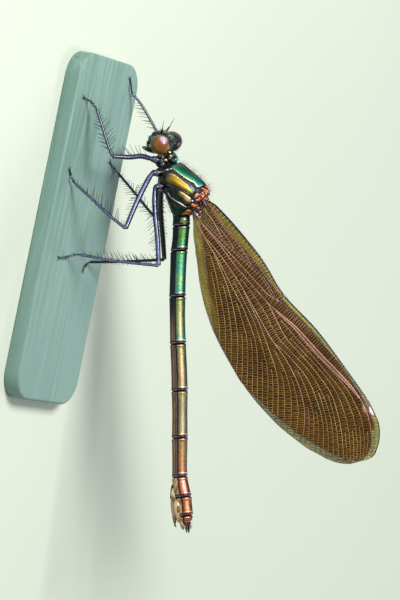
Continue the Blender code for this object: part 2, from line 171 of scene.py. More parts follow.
def through(points, steps):
    points = np.asarray(points, float)
    return catmull(points, np.linspace(0, len(points) - 1, (len(points) - 1) * steps + 1))


def resampled(points, step):
    """Points evenly spaced along a path, about step apart."""
    points = np.asarray(points, float)
    lengths = np.concatenate([[0], np.cumsum(np.linalg.norm(np.diff(points, axis=0), axis=1))])
    count = max(2, int(round(lengths[-1] / step)) + 1)
    at = np.linspace(0, lengths[-1], count)
    return np.stack([np.interp(at, lengths, points[:, k]) for k in range(points.shape[1])], 1)


def fade(x, low, high):
    """0 below low, 1 above high, smooth between."""
    t = np.clip((np.asarray(x, float) - low) / (high - low), 0, 1)
    return t * t * (3 - 2 * t)


# ---- meshes -------------------------------------------------------------------------
def srgb(r, g, b):
    return tuple(
        c / 12.92 if c <= 0.04045 else ((c + 0.055) / 1.055) ** 2.4
        for c in (r / 255, g / 255, b / 255)
    )


class Shape:
    """Collects points, faces, materials and numbers stored on the points."""

    def __init__(self, *names):
        self.points, self.faces, self.mats, self.count = [], [], [], 0
        self.extra = {name: [] for name in names}
        self.roots = []

    def add(self, points, faces, mat=0, roots=None, **extra):
        points = np.asarray(points, float).reshape(-1, 3)
        faces = np.asarray(faces, int)
        self.points.append(points)
        self.faces.append(faces + self.count)
        self.mats.append(np.broadcast_to(mat, (len(faces),)))
        self.roots.append(np.zeros((len(points), 2)) if roots is None else roots)
        for name, rows in self.extra.items():
            rows.append(np.broadcast_to(extra.get(name, 0.0), (len(points),)).astype(float))
        self.count += len(points)

    def grid(self, points, closed=False, mat=0, caps=(False, False), **extra):
        """Points as rows by columns; closed joins the last column to the first."""
        points = np.asarray(points, float)
        rows, cols = points.shape[:2]
        index = np.arange(rows * cols).reshape(rows, cols)
        nxt = np.roll(index, -1, axis=1) if closed else index[:, 1:]
        here = index if closed else index[:, :-1]
        quads = np.stack([here[:-1], nxt[:-1], nxt[1:], here[1:]], -1).reshape(-1, 4)
        flat = {k: np.broadcast_to(v, (rows, cols)).reshape(-1) for k, v in extra.items()}
        start = self.count
        self.add(points, quads, mat, **flat)
        for which, row in ((0, 0), (1, rows - 1)):
            if not caps[which]:
                continue
            hub = points[row].mean(axis=0)
            ring = start + index[row]
            after = np.roll(ring, -1)
            tri = np.stack([ring, after, np.full(cols, self.count)], -1)
            if which == 0:
                tri = tri[:, ::-1]
            hub_extra = {k: float(np.mean(v[index[row]])) for k, v in flat.items()}
            tri = tri - self.count
            self.add(hub[None], tri, mat, **hub_extra)

    def tube(self, path, radius, sides=6, mat=0, up=None, caps=(True, True), squash=1.0, **extra):
        """A round bar along a path. Up is the direction kept across it."""
        path = np.asarray(path, float)
        count = len(path)
        radius = np.broadcast_to(np.asarray(radius, float), (count,))
        way = unit(np.gradient(path, axis=0))
        if up is None:
            up = LEFT if abs(way[0] @ LEFT) < 0.8 else RIGHT
        across = unit(np.cross(way, up))
        other = np.cross(across, way)
        turn = np.arange(sides) * 2 * math.pi / sides
        ring = (
            across[:, None, :] * np.cos(turn)[None, :, None]
            + other[:, None, :] * np.sin(turn)[None, :, None] * squash
        )
        points = path[:, None, :] + ring * radius[:, None, None]
        spread = {
            k: np.repeat(np.broadcast_to(v, (count,)), sides).reshape(count, sides)
            for k, v in extra.items()
        }
        self.grid(points, True, mat, caps, **spread)

    def sticks(self, starts, ends, r0, r1, sides=3, mat=0, bend=None, rings=2, uv=None, **extra):
        """Many short bars at once, from starts to ends, with a bow. uv is each root's patch."""
        starts, ends = np.asarray(starts, float), np.asarray(ends, float)
        count = len(starts)
        if not count:
            return
        way = unit(ends - starts)
        helper = np.where(np.abs(way @ LEFT)[:, None] < 0.8, LEFT, RIGHT)
        a = unit(np.cross(way, helper))
        b = np.cross(a, way)
        t = np.linspace(0, 1, rings)
        centre = starts[:, None] + (ends - starts)[:, None] * t[None, :, None]
        if bend is not None:
            centre = centre + np.asarray(bend)[:, None] * (t * (2 - t))[None, :, None]
        r0, r1 = (np.broadcast_to(np.asarray(r, float), (count,)) for r in (r0, r1))
        radius = r0[:, None] * (1 - t) + r1[:, None] * t
        turn = np.arange(sides) * 2 * math.pi / sides
        ring = a[:, None] * np.cos(turn)[None, :, None] + b[:, None] * np.sin(turn)[None, :, None]
        points = centre[:, :, None] + ring[:, None] * radius[:, :, None, None]
        index = np.arange(count * rings * sides).reshape(count, rings, sides)
        nxt = np.roll(index, -1, axis=2)
        quads = np.stack([index[:, :-1], nxt[:, :-1], nxt[:, 1:], index[:, 1:]], -1)
        flat = {
            k: np.repeat(np.broadcast_to(v, (count,)), rings * sides) for k, v in extra.items()
        }
        tips = np.stack([index[:, -1, k] for k in range(sides)], -1)
        start = self.count
        roots = None
        if uv is not None:
            patch = 0.0015 * np.stack([np.cos(turn), np.sin(turn)], 1)
            patch = patch[None, None] * np.linspace(1, 0.4, rings)[None, :, None, None]
            roots = (np.asarray(uv)[:, None, None] + patch).reshape(-1, 2)
        self.add(points, quads.reshape(-1, 4), mat, roots, **flat)
        if sides in (3, 4):
            self.faces.append(tips + start)
            self.mats.append(np.broadcast_to(mat, (len(tips),)))

    def ball(self, middle, sizes, axes, across=20, rings=12, mat=0, **extra):
        """An ellipsoid with its own axes, poles on the third."""
        lat = np.linspace(0, math.pi, rings + 1)[1:-1]
        lon = np.arange(across) * 2 * math.pi / across
        unitp = np.stack(
            [
                np.sin(lat)[:, None] * np.cos(lon)[None],
                np.sin(lat)[:, None] * np.sin(lon)[None],
                np.broadcast_to(np.cos(lat)[:, None], (len(lat), across)),
            ],
            -1,
        )
        points = middle + (unitp * sizes) @ np.asarray(axes)
        start = self.count
        self.grid(points[::-1], True, mat, (False, False), **extra)
        for top, row in ((1.0, len(lat) - 1), (-1.0, 0)):
            hub = middle + (np.array((0, 0, top)) * sizes) @ np.asarray(axes)
            ring = start + row * across + np.arange(across)
            after = np.roll(ring, -1)
            tri = np.stack([ring, after, np.full(across, self.count)], -1)
            if top < 0:
                tri = tri[:, ::-1]
            self.add(hub[None], tri - self.count, mat, **extra)

    def build(self, name, materials, replaces=(), smooth=True, uv=False, sharp=None):
        points = np.concatenate(self.points) * MM
        mesh = bpy.data.meshes.new(name)
        sizes = np.concatenate([np.full(len(f), f.shape[1]) for f in self.faces])
        loops = np.concatenate([f.reshape(-1) for f in self.faces]).astype(np.int32)
        starts = np.concatenate([[0], np.cumsum(sizes)[:-1]]).astype(np.int32)
        mesh.vertices.add(len(points))
        mesh.vertices.foreach_set("co", points.astype(np.float32).reshape(-1))
        mesh.loops.add(len(loops))
        mesh.loops.foreach_set("vertex_index", loops)
        mesh.polygons.add(len(starts))
        mesh.polygons.foreach_set("loop_start", starts)
        mesh.polygons.foreach_set("loop_total", sizes.astype(np.int32))
        mesh.polygons.foreach_set(
            "material_index", np.concatenate(self.mats).astype(np.int32)
        )
        mesh.update(calc_edges=True)
        mesh.validate()
        for key, rows in self.extra.items():
            layer = mesh.attributes.new(key, "FLOAT", "POINT")
            layer.data.foreach_set("value", np.concatenate(rows).astype(np.float32))
        for material in materials if isinstance(materials, (list, tuple)) else [materials]:
            mesh.materials.append(material)
        if uv:
            roots = np.concatenate(self.roots)
            layer = mesh.uv_layers.new(name="OFBake")
            layer.data.foreach_set("uv", roots[loops].astype(np.float32).reshape(-1))
        if smooth:
            mesh.shade_smooth()
            if sharp:
                mesh.set_sharp_from_angle(angle=math.radians(sharp))
        obj = bpy.data.objects.new(name, mesh)
        bpy.context.collection.objects.link(obj)
        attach(obj, "root")
        if replaces:
            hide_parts(*replaces)
        return obj


# ---- materials ----------------------------------------------------------------------
class Paint:
    """A short way to write a material's nodes. Lengths are in millimetres."""

    def __init__(self, name, **settings):
        self.material = bpy.data.materials.new(name)
        self.material.use_nodes = True
        self.tree = self.material.node_tree
        self.shader = self.tree.nodes["Principled BSDF"]
        self.put(**settings)

    def put(self, **settings):
        for key, value in settings.items():
            self.into(self.shader.inputs[key.replace("_", " ").title().replace("Ior", "IOR")], value)
        colour = settings.get("base_color")
        if isinstance(colour, tuple):
            self.material.diffuse_color = (*colour[:3], 1.0)
        return self

    def into(self, socket, value):
        if isinstance(value, bpy.types.NodeSocket):
            self.tree.links.new(value, socket)
        elif isinstance(value, (tuple, list)) and len(value) == 3 and socket.type == "RGBA":
            socket.default_value = (*value, 1.0)
        else:
            socket.default_value = value

    def node(self, kind, out=0, ins=(), **fields):
        made = self.tree.nodes.new(kind)
        for key, value in fields.items():
            setattr(made, key, value)
        for key, value in dict(ins).items():
            self.into(made.inputs[key], value)
        return made.outputs[out]

    def attr(self, name):
        return self.node("ShaderNodeAttribute", "Fac", attribute_name=name)

    def place(self):
        """Object coordinates in mm."""
        coord = self.node("ShaderNodeTexCoord", "Object")
        return self.node(
            "ShaderNodeVectorMath", 0, {0: coord, 3: 1000.0}, operation="SCALE"
        )

    def math(self, operation, a, b=0.0, c=0.0, clamp=False):
        return self.node(
            "ShaderNodeMath", 0, {0: a, 1: b, 2: c}, operation=operation, use_clamp=clamp
        )

    def fit(self, value, low, high, to_low=0.0, to_high=1.0, soft=True):
        return self.node(
            "ShaderNodeMapRange",
            0,
            {"Value": value, "From Min": low, "From Max": high, "To Min": to_low, "To Max": to_high},
            interpolation_type="SMOOTHSTEP" if soft else "LINEAR",
        )

    def mix(self, share, a, b, blend="MIX"):
        made = self.tree.nodes.new("ShaderNodeMix")
        made.data_type = "RGBA"
        made.blend_type = blend
        self.into(made.inputs[0], share)
        self.into(made.inputs[6], a)
        self.into(made.inputs[7], b)
        return made.outputs[2]

    def ramp(self, value, *stops, ease=True):
        made = self.tree.nodes.new("ShaderNodeValToRGB")
        band = made.color_ramp
        band.interpolation = "EASE" if ease else "LINEAR"
        while len(band.elements) < len(stops):
            band.elements.new(0.5)
        for element, (at, colour) in zip(band.elements, stops):
            element.position = at
            element.color = (*colour, 1.0)
        self.into(made.inputs[0], value)
        return made.outputs[0]

    def noise(self, size, detail=2.0, rough=0.5, vector=None):
        """Noise whose lumps are about size mm across."""
        return self.node(
            "ShaderNodeTexNoise",
            "Fac",
            {
                "Vector": vector or self.place(),
                "Scale": 0.5 / size,
                "Detail": detail,
                "Roughness": rough,
            },
        )

    def cells(self, size, vector=None, out="Distance"):
        return self.node(
            "ShaderNodeTexVoronoi", out, {"Vector": vector or self.place(), "Scale": 1.0 / size}
        )

    def distance(self, point):
        made = self.tree.nodes.new("ShaderNodeVectorMath")
        made.operation = "DISTANCE"
        self.tree.links.new(self.place(), made.inputs[0])
        made.inputs[1].default_value = tuple(point)
        return made.outputs["Value"]

    def bump(self, height, depth, normal=None):
        """Height 0 to 1 raises the surface by depth mm."""
        ins = {"Height": height, "Distance": depth * MM, "Strength": 1.0}
        if normal is not None:
            ins["Normal"] = normal
        return self.node("ShaderNodeBump", 0, ins)


def speckle(paint, size=0.11, depth=0.006, fine=0.05):
    """The fine hammered grain of the shell."""
    coarse = paint.cells(size)
    small = paint.noise(fine, 2.0, 0.6)
    return paint.bump(small, depth * 0.8, paint.bump(coarse, depth))


# ---- the picture --------------------------------------------------------------------
def make_view():
    camera = bpy.data.cameras.new("camera")
    camera.sensor_width = 36.0
    camera.sensor_fit = "AUTO"
    camera.lens = 36.0 * EYE_DISTANCE / (600.0 * UNIT)
    camera.clip_start, camera.clip_end = 0.01, 10.0
    obj = bpy.data.objects.new("camera", camera)
    at = (MIDDLE + EYE_DISTANCE * BACK) * MM
    obj.matrix_world = Matrix(
        [[RIGHT[k], UP[k], BACK[k], at[k]] for k in range(3)] + [[0, 0, 0, 1]]
    )
    bpy.context.collection.objects.link(obj)
    bpy.context.scene.camera = obj
    bpy.context.scene.view_settings.view_transform = "Standard"


def light(name, direction, distance, size, power, colour=(1, 1, 1)):
    """An area light in the drawing's axes, aimed at the middle of the body."""
    made = bpy.data.lights.new(name, "AREA")
    made.shape = "DISK"
    made.size = size * MM
    made.energy = power
    made.color = colour
    aim = side(185.0, 260.0)
    way = unit(np.asarray(direction, float) @ AXES)
    at = aim + way * distance
    obj = bpy.data.objects.new(name, made)
    obj.matrix_world = (
        Matrix.Translation(Vector(at * MM))
        @ Vector(way).to_track_quat("Z", "Y").to_matrix().to_4x4()
    )
    bpy.context.collection.objects.link(obj)


def make_stage():
    shape = 64
    turn = np.linspace(0, 2 * math.pi, shape, endpoint=False)
    mesh = bpy.data.meshes.new("floor")
    mesh.from_pydata(
        [(2.5 * math.cos(t), 2.5 * math.sin(t), 0.0) for t in turn],
        [],
        [tuple(range(shape))],
    )
    paint = Paint("floor", roughness=0.85, specular_ior_level=0.2)
    cloud = paint.noise(60.0, 3.0)
    paint.put(base_color=paint.ramp(cloud, (0.3, (0.60, 0.66, 0.56)), (0.7, (0.63, 0.69, 0.59))))
    mesh.materials.append(paint.material)
    floor = bpy.data.objects.new("floor", mesh)
    bpy.context.collection.objects.link(floor)
    sky = bpy.data.worlds.new("studio")
    bpy.context.scene.world = sky
    sky.use_nodes = True
    back = sky.node_tree.nodes["Background"]
    back.inputs["Color"].default_value = (0.86, 0.92, 1.0, 1.0)
    back.inputs["Strength"].default_value = 0.30
    light("key", (0.62, 0.42, 0.78), 420.0, 170.0, 2.35, (1.0, 0.975, 0.94))
    light("fill", (-0.75, 0.25, 0.55), 460.0, 260.0, 0.5, (0.86, 0.92, 1.0))
    light("rim", (0.85, -0.25, -0.30), 420.0, 160.0, 0.5, (1.0, 1.0, 1.0))


# ---- abdomen ------------------------------------------------------------------------
JOINTS = (217.0, 226.0, 251.0, 297.0, 344.0, 391.0, 438.0, 477.0, 497.0, 516.0, 525.5)
OUTLINE = (
    (217.0, 173.0, 190.0),
    (235.0, 172.5, 189.0),
    (255.0, 170.5, 187.0),
    (295.0, 169.5, 185.4),
    (335.0, 170.0, 185.5),
    (375.0, 171.3, 187.3),
    (410.0, 172.0, 187.5),
    (450.0, 172.0, 187.4),
    (477.0, 172.3, 187.2),
    (490.0, 173.0, 189.8),
    (498.0, 176.0, 191.3),
    (512.0, 177.0, 192.6),
    (520.0, 178.6, 192.0),
    (526.0, 180.5, 190.5),
)
ABDOMEN_FLAT = 0.92

# the back's metal along each segment, from its front end to its hind end, pale as a painted highlight strip
BACK_HIGHLIGHT_COLOURS = (
    (srgb(60, 120, 90), srgb(120, 150, 80)),
    (srgb(120, 150, 80), srgb(70, 150, 70), srgb(40, 140, 110)),
    (srgb(100, 180, 90), srgb(60, 170, 140), srgb(110, 175, 110), srgb(50, 165, 150)),
    (srgb(150, 160, 80), srgb(165, 165, 105), srgb(175, 175, 120), srgb(90, 165, 150)),
    (srgb(170, 150, 80), srgb(180, 160, 110), srgb(185, 150, 115), srgb(160, 140, 90)),
    (srgb(185, 165, 95), srgb(165, 150, 110), srgb(175, 160, 130), srgb(190, 160, 100)),
    (srgb(170, 120, 90), srgb(190, 150, 80), srgb(200, 130, 90), srgb(205, 110, 85)),
    (srgb(225, 130, 105), srgb(235, 120, 110), srgb(240, 110, 110)),
    (srgb(235, 125, 100), srgb(215, 130, 80), srgb(225, 120, 90)),
    (srgb(215, 130, 80), srgb(150, 90, 60)),
)
EDGE_COLOURS = (  # the metal beside the painted highlight strip
    srgb(10, 60, 50),
    srgb(12, 90, 70),
    srgb(8, 110, 105),
    srgb(10, 95, 85),
    srgb(30, 75, 65),
    srgb(45, 75, 60),
    srgb(70, 70, 45),
    srgb(120, 60, 50),
    srgb(70, 60, 35),
    srgb(60, 40, 30),
)


def abdomen_ring(v, turn, swell, slant):
    """Points round the abdomen at heights v (rows) and turns from the back (columns)."""
    v = np.atleast_1d(v)
    row = at_key(OUTLINE, v)
    low, high = row[:, 1] - swell, row[:, 2] + swell
    half = (row[:, 2] - row[:, 1]) / 2 * UNIT * ABDOMEN_FLAT + swell * UNIT
    a, b = side(low, v - slant), side(high, v + slant)
    middle, rise = (a + b) / 2, (b - a) / 2
    return (
        middle[:, None]
        + rise[:, None] * np.cos(turn)[None, :, None]
        + LEFT * (half[:, None] * np.sin(turn)[None])[..., None]
    )


def segment_paint(i):
    """Metal back with a painted highlight strip, darker by the midline as a painted dark reflection; dark flank, its
    own colour deepened as painted shade; brown belly; collars dark at both ends.
    """
    paint = Paint(f"segment_{i + 1}", metallic=0.88, roughness=0.36, coat_weight=0.12, coat_roughness=0.3,
                  specular_ior_level=0.3)
    turn, along = paint.attr("turn"), paint.attr("along")
    front, rear = paint.attr("front"), paint.attr("rear")
    stops = BACK_HIGHLIGHT_COLOURS[i]
    bright = paint.ramp(
        along, *[(k / (len(stops) - 1), colour) for k, colour in enumerate(stops)]
    )
    blot = paint.noise(0.32, 3.0, 0.6)
    grain = paint.cells(0.075, out="Color")
    dot = paint.node("ShaderNodeSeparateColor", 0, {0: grain})
    bright = paint.mix(paint.fit(dot, 0.1, 0.9, 0.0, 0.85), bright, paint.mix(0.35, bright, EDGE_COLOURS[i]))
    fleck = paint.node("ShaderNodeSeparateColor", 1, {0: grain})
    # painted glints: cream flecks and blots in the highlight strip
    bright = paint.mix(paint.fit(fleck, 0.55, 0.95, 0.0, 0.30), bright, srgb(244, 226, 190))
    bright = paint.mix(paint.fit(blot, 0.58, 0.74, 0.0, 0.22), bright, srgb(228, 214, 178))
    # the painted highlight strip: bright metal between bands of darker metal round the segment
    wobble = paint.math("MULTIPLY_ADD", paint.noise(0.5, 2.0), 0.06, turn)
    inner = (0.21, 0.34) if i < 2 else (0.17, 0.30)
    metal = paint.mix(paint.fit(wobble, *inner), EDGE_COLOURS[i], bright)
    reach = 0.03 if i in (1, 2) else 0.0
    metal = paint.mix(paint.fit(wobble, 0.49 + reach, 0.56 + reach), metal, EDGE_COLOURS[i])
    # painted dark reflection: the metal darkens towards the back's midline
    metal = paint.mix(paint.fit(wobble, 0.19, 0.06), metal, paint.mix(0.6, EDGE_COLOURS[i], (0.0, 0.0, 0.0)))
    # the dark flank: its own dark colour, deepened as painted shade
    flank = srgb(2, 14, 26) if i < 5 else srgb(30, 17, 26)
    streak = paint.noise(0.12, 2.0, vector=paint.node(
        "ShaderNodeVectorMath", 0, {0: paint.place(), 1: (0.18, 1.0, 1.0)}, operation="MULTIPLY"))
    if i < 3:
        belly = paint.ramp(streak, (0.35, srgb(2, 7, 16)), (0.55, srgb(4, 14, 26)), (0.8, srgb(26, 26, 48)))
    elif i < 7:
        lines = paint.ramp(
            wobble,
            (0.55, srgb(30, 20, 34)),
            (0.615, srgb(126, 96, 96)),
            (0.66, srgb(70, 44, 42)),
            (0.73, srgb(150, 116, 84)),
            (0.80, srgb(82, 54, 40)),
            (0.90, srgb(110, 80, 52)),
            (1.0, srgb(62, 40, 30)),
        )
        belly = paint.mix(paint.fit(streak, 0.4, 0.7, 0.0, 0.45), lines, srgb(52, 32, 30))
        if i == 3:
            belly = paint.mix(paint.fit(along, 0.2, 0.8), srgb(16, 16, 30), belly)
    else:
        belly = paint.ramp(
            streak, (0.33, srgb(84, 56, 34)), (0.46, srgb(140, 106, 72)), (0.64, srgb(190, 164, 124))
        )
    colour = paint.mix(paint.fit(wobble, 0.545 + reach, 0.565 + reach), metal, flank)
    colour = paint.mix(paint.fit(wobble, 0.585 + reach, 0.615 + reach), colour, belly)
    collar = srgb(30, 20, 34) if i < 6 else srgb(52, 28, 28)
    thin = srgb(232, 214, 160) if i < 7 else srgb(240, 160, 130)
    # a painted highlight line on the back, then the dark collar, at the hind end
    shown = paint.math("MULTIPLY", paint.fit(rear, 4.4, 3.9), paint.fit(wobble, 0.58, 0.5))
    colour = paint.mix(paint.math("MULTIPLY", shown, 0.8), colour, thin)
    colour = paint.mix(paint.fit(rear, 3.5, 3.1), colour, collar)
    pale = paint.math("MULTIPLY", paint.fit(rear, 2.1, 1.7), paint.fit(rear, 0.9, 1.2))
    colour = paint.mix(paint.math("MULTIPLY", pale, 0.55), colour, srgb(150, 130, 170))
    colour = paint.mix(paint.fit(front, 0.9, 0.4), colour, srgb(20, 12, 20))
    metallic = paint.fit(wobble, 0.62, 0.56, 0.12, 0.9)
    paint.put(base_color=colour, metallic=metallic)
    grain_bump = paint.cells(0.072)
    fine = paint.noise(0.045, 2.0, 0.6)
    fold = paint.bump(streak, 0.007, paint.bump(fine, 0.006, paint.bump(grain_bump, 0.010)))
    paint.put(normal=fold)
    return paint.material


def make_abdomen():
    for i in range(10):
        start, end = JOINTS[i], JOINTS[i + 1]
        length = end - start
        rows = [(-0.6, -1.5), (0.0, -1.2), (0.35, -0.5), (0.8, 0.0), (1.4, 0.35), (2.2, 0.25), (3.2, 0.0)]
        if i < 9:
            back = [(5.0, 0.0), (4.2, 0.05), (3.9, 0.16), (3.55, 0.14), (3.3, -0.12), (3.0, 0.12),
                    (2.5, 0.30), (1.8, 0.36), (1.1, 0.28), (0.7, 0.12), (0.35, -0.4), (0.0, -1.1)]
        else:
            back = [(2.2, 0.0), (1.4, -0.3), (0.8, -1.0), (0.3, -2.2), (0.05, -4.2)]
        if i == 0:
            rows = [(-3.5, 0.3), (-1.0, 0.1), (1.5, -0.2), (3.0, 0.0)]
        middle = np.linspace(3.8, length - 5.4, max(2, int((length - 9) / 1.1)))
        if length < 12:
            middle = np.array([])
            rows, back = rows[:6], [b for b in back if b[0] < 3.6]
        keys = np.array(
            rows
            + [(y, -0.16 * math.sin(math.pi * (y - 3) / max(1.0, length - 8))) for y in middle]
            + [(length - y, swell) for y, swell in back]
        )
        v = start + keys[:, 0]
        slope = 0.45 if i < 6 else 0.75
        slant = np.full(len(v), -slope)
        if i >= 7:
            slant = np.full(len(v), -0.9)
        if i == 9:
            slant = -0.9 * np.linspace(1, 0.3, len(v))
        # rings curve a little, as the ends of real segments do
        turn = np.arange(72) * 2 * math.pi / 72
        points = abdomen_ring(v, turn, keys[:, 1], slant)
        around = np.minimum(turn, 2 * math.pi - turn) / math.pi
        along = np.clip(keys[:, 0] / length, 0, 1)
        # belly creases: a shallow furrow where the back plate ends, and a keel below
        hub = points.mean(axis=1, keepdims=True)
        out = points - hub
        fold = 1.0 - 0.05 * np.exp(-(((around - 0.60) / 0.018) ** 2)) - 0.03 * np.exp(
            -(((around - 0.80) / 0.03) ** 2)
        )
        if i < 2:
            fold = 1 + 0 * fold
        points = hub + out * fold[None, :, None]
        shape = Shape("turn", "along", "front", "rear")
        shape.grid(
            points,
            True,
            0,
            (True, True),
            turn=np.broadcast_to(around, points.shape[:2]),
            along=np.broadcast_to(along[:, None], points.shape[:2]),
            front=np.broadcast_to(keys[:, :1], points.shape[:2]),
            rear=np.broadcast_to(length - keys[:, :1], points.shape[:2]),
        )
        shape.build(
            f"segment_{i + 1}",
            segment_paint(i),
            (f"abdomen_s{i + 1}",),
        )


# ---- wings --------------------------------------------------------------------------
FORE_ROOT, WING_AXIS, FORE_SPAN = (205.0, 203.0), (0.597, 0.802), 302.0
HIND_ROOT, HIND_SPAN = (198.0, 215.0), 293.0
FORE_EDGES = (
    (-0.03, 3.0, 0.0),
    (0.0, 5.0, -5.0),
    (0.03, 8.0, -12.5),
    (0.10, 10.6, -23.5),
    (0.19, 12.2, -39.5),
    (0.27, 12.5, -53.8),
    (0.40, 9.0, -68.5),
    (0.56, 14.3, -77.8),
    (0.73, 14.4, -74.5),
    (0.85, 13.2, -65.0),
    (0.92, 9.2, -55.5),
    (0.95, 4.5, -49.4),
    (0.98, -3.0, -39.6),
    (1.0, -11.5, -25.0),
)
HIND_EDGES = (
    (-0.035, 2.0, -2.0),
    (0.0, 2.5, -6.5),
    (0.05, 3.9, -16.5),
    (0.10, 5.8, -25.0),
    (0.20, 10.5, -41.0),
    (0.30, 15.4, -53.0),
    (0.385, 13.8, -59.5),
    (0.50, 19.2, -64.0),
    (0.56, 22.0, -65.0),
    (0.70, 25.4, -58.7),
    (0.80, 24.4, -51.5),
    (0.85, 22.0, -45.5),
    (0.92, 14.0, -37.0),
    (0.96, 7.0, -30.0),
    (0.985, 1.5, -24.5),
    (1.0, -7.0, -16.0),
)
WING_STEP = 0.6
NODUS = {"fore": 122.0, "hind": 116.2}
# the main veins of a hindwing: distance along the wing's axis, distance toward the front
HIND_VEINS = {
    "sub": ((-4, 0.3), (5.9, -1.6), (24.4, 0.0), (45.4, 2.2), (68, 4.7), (91.9, 7.0), (105, 8.6), (116, 12.6)),
    "radius": ((8, -2.6), (22, -1.4), (38, -0.4), (62.6, -0.6), (74, 0.3), (94.6, 1.9), (116, 4.1), (134, 8.2), (150.5, 11.8),
               (182, 15.1), (227, 20.4), (252, 19.2), (267, 14.6), (280, 8.0), (288, 1.0)),
    "second": ((112, 3.6), (118, 2.5), (148.6, -2.6), (168.4, -1.5), (191, 0.5), (221, 0.2), (244, -7.1),
               (260.6, -15.0), (272, -22.0), (280, -27.0)),
    "third": ((150, -15.1), (160, -12.6), (171.4, -11.2), (185.8, -9.9), (203, -11.0), (223, -16.6),
              (237.6, -22.3), (252, -31.0), (262, -39.0)),
    "fourth": ((24, -8.2), (30, -6.9), (54, -6.3), (80.9, -7.7), (112, -11.2), (141.7, -15.0), (166, -15.8),
               (182.3, -17.8), (200.8, -22.4), (220, -31.0), (234, -42.0), (241, -49.0)),
    "fifth": ((84, -8.0), (100, -11.0), (122.9, -15.6), (148, -22.8), (172.7, -31.0), (188, -40.0), (205, -53.0), (211, -58.0)),
    "sixth": ((26, -8.8), (38, -9.8), (50, -10.9), (73.6, -15.0), (102.7, -19.8), (129.5, -27.2), (145, -34.5), (163, -47.0),
              (178, -58.5), (183, -62.0)),
    "seventh": ((-4, -1.5), (2, -4.4), (9.8, -6.6), (24, -8.2), (50.4, -12.6), (85.2, -22.9), (115.5, -37.4),
                (135, -51.0), (149, -63.0)),
    "eighth": ((4, -5.5), (12, -8.6), (23, -11.2), (51.2, -27.0), (76.5, -41.2), (89.9, -48.5), (104, -57.0)),
}
# upper vein, lower vein, where the field between them starts, where each vein ends
FIELDS = (
    ("edge", "sub", 0.0, 117.0, 117.0),
    ("sub", "radius", 46.0, 117.5, 117.5),
    ("radius", "seventh", 9.0, 26.0, 26.0),
    ("edge", "radius", 115.0, 289.0, 287.0),
    ("radius", "fourth", 26.0, 114.5, 114.5),
    ("radius", "second", 111.0, 287.5, 279.0),
    ("second", "fourth", 111.0, 151.5, 151.5),
    ("second", "third", 149.5, 279.5, 261.0),
    ("third", "fourth", 149.5, 261.5, 240.0),
    ("fourth", "seventh", 28.0, 42.5, 42.5),
    ("fourth", "sixth", 40.0, 86.5, 86.5),
    ("fourth", "fifth", 83.5, 240.5, 210.0),
    ("fifth", "sixth", 83.5, 210.5, 182.0),
    ("sixth", "seventh", 40.5, 182.5, 148.0),
    ("seventh", "eighth", 12.0, 148.5, 103.0),
    ("eighth", "margin", 8.0, 103.5, 103.5),
)
VEIN_SIZES = {
    "sub": (0.046, 0.050), "radius": (0.044, 0.045), "second": (0.055, 0.042), "third": (0.048, 0.040),
    "fourth": (0.047, 0.042), "fifth": (0.048, 0.038), "sixth": (0.047, 0.038), "seventh": (0.055, 0.038),
    "eighth": (0.045, 0.034),
}


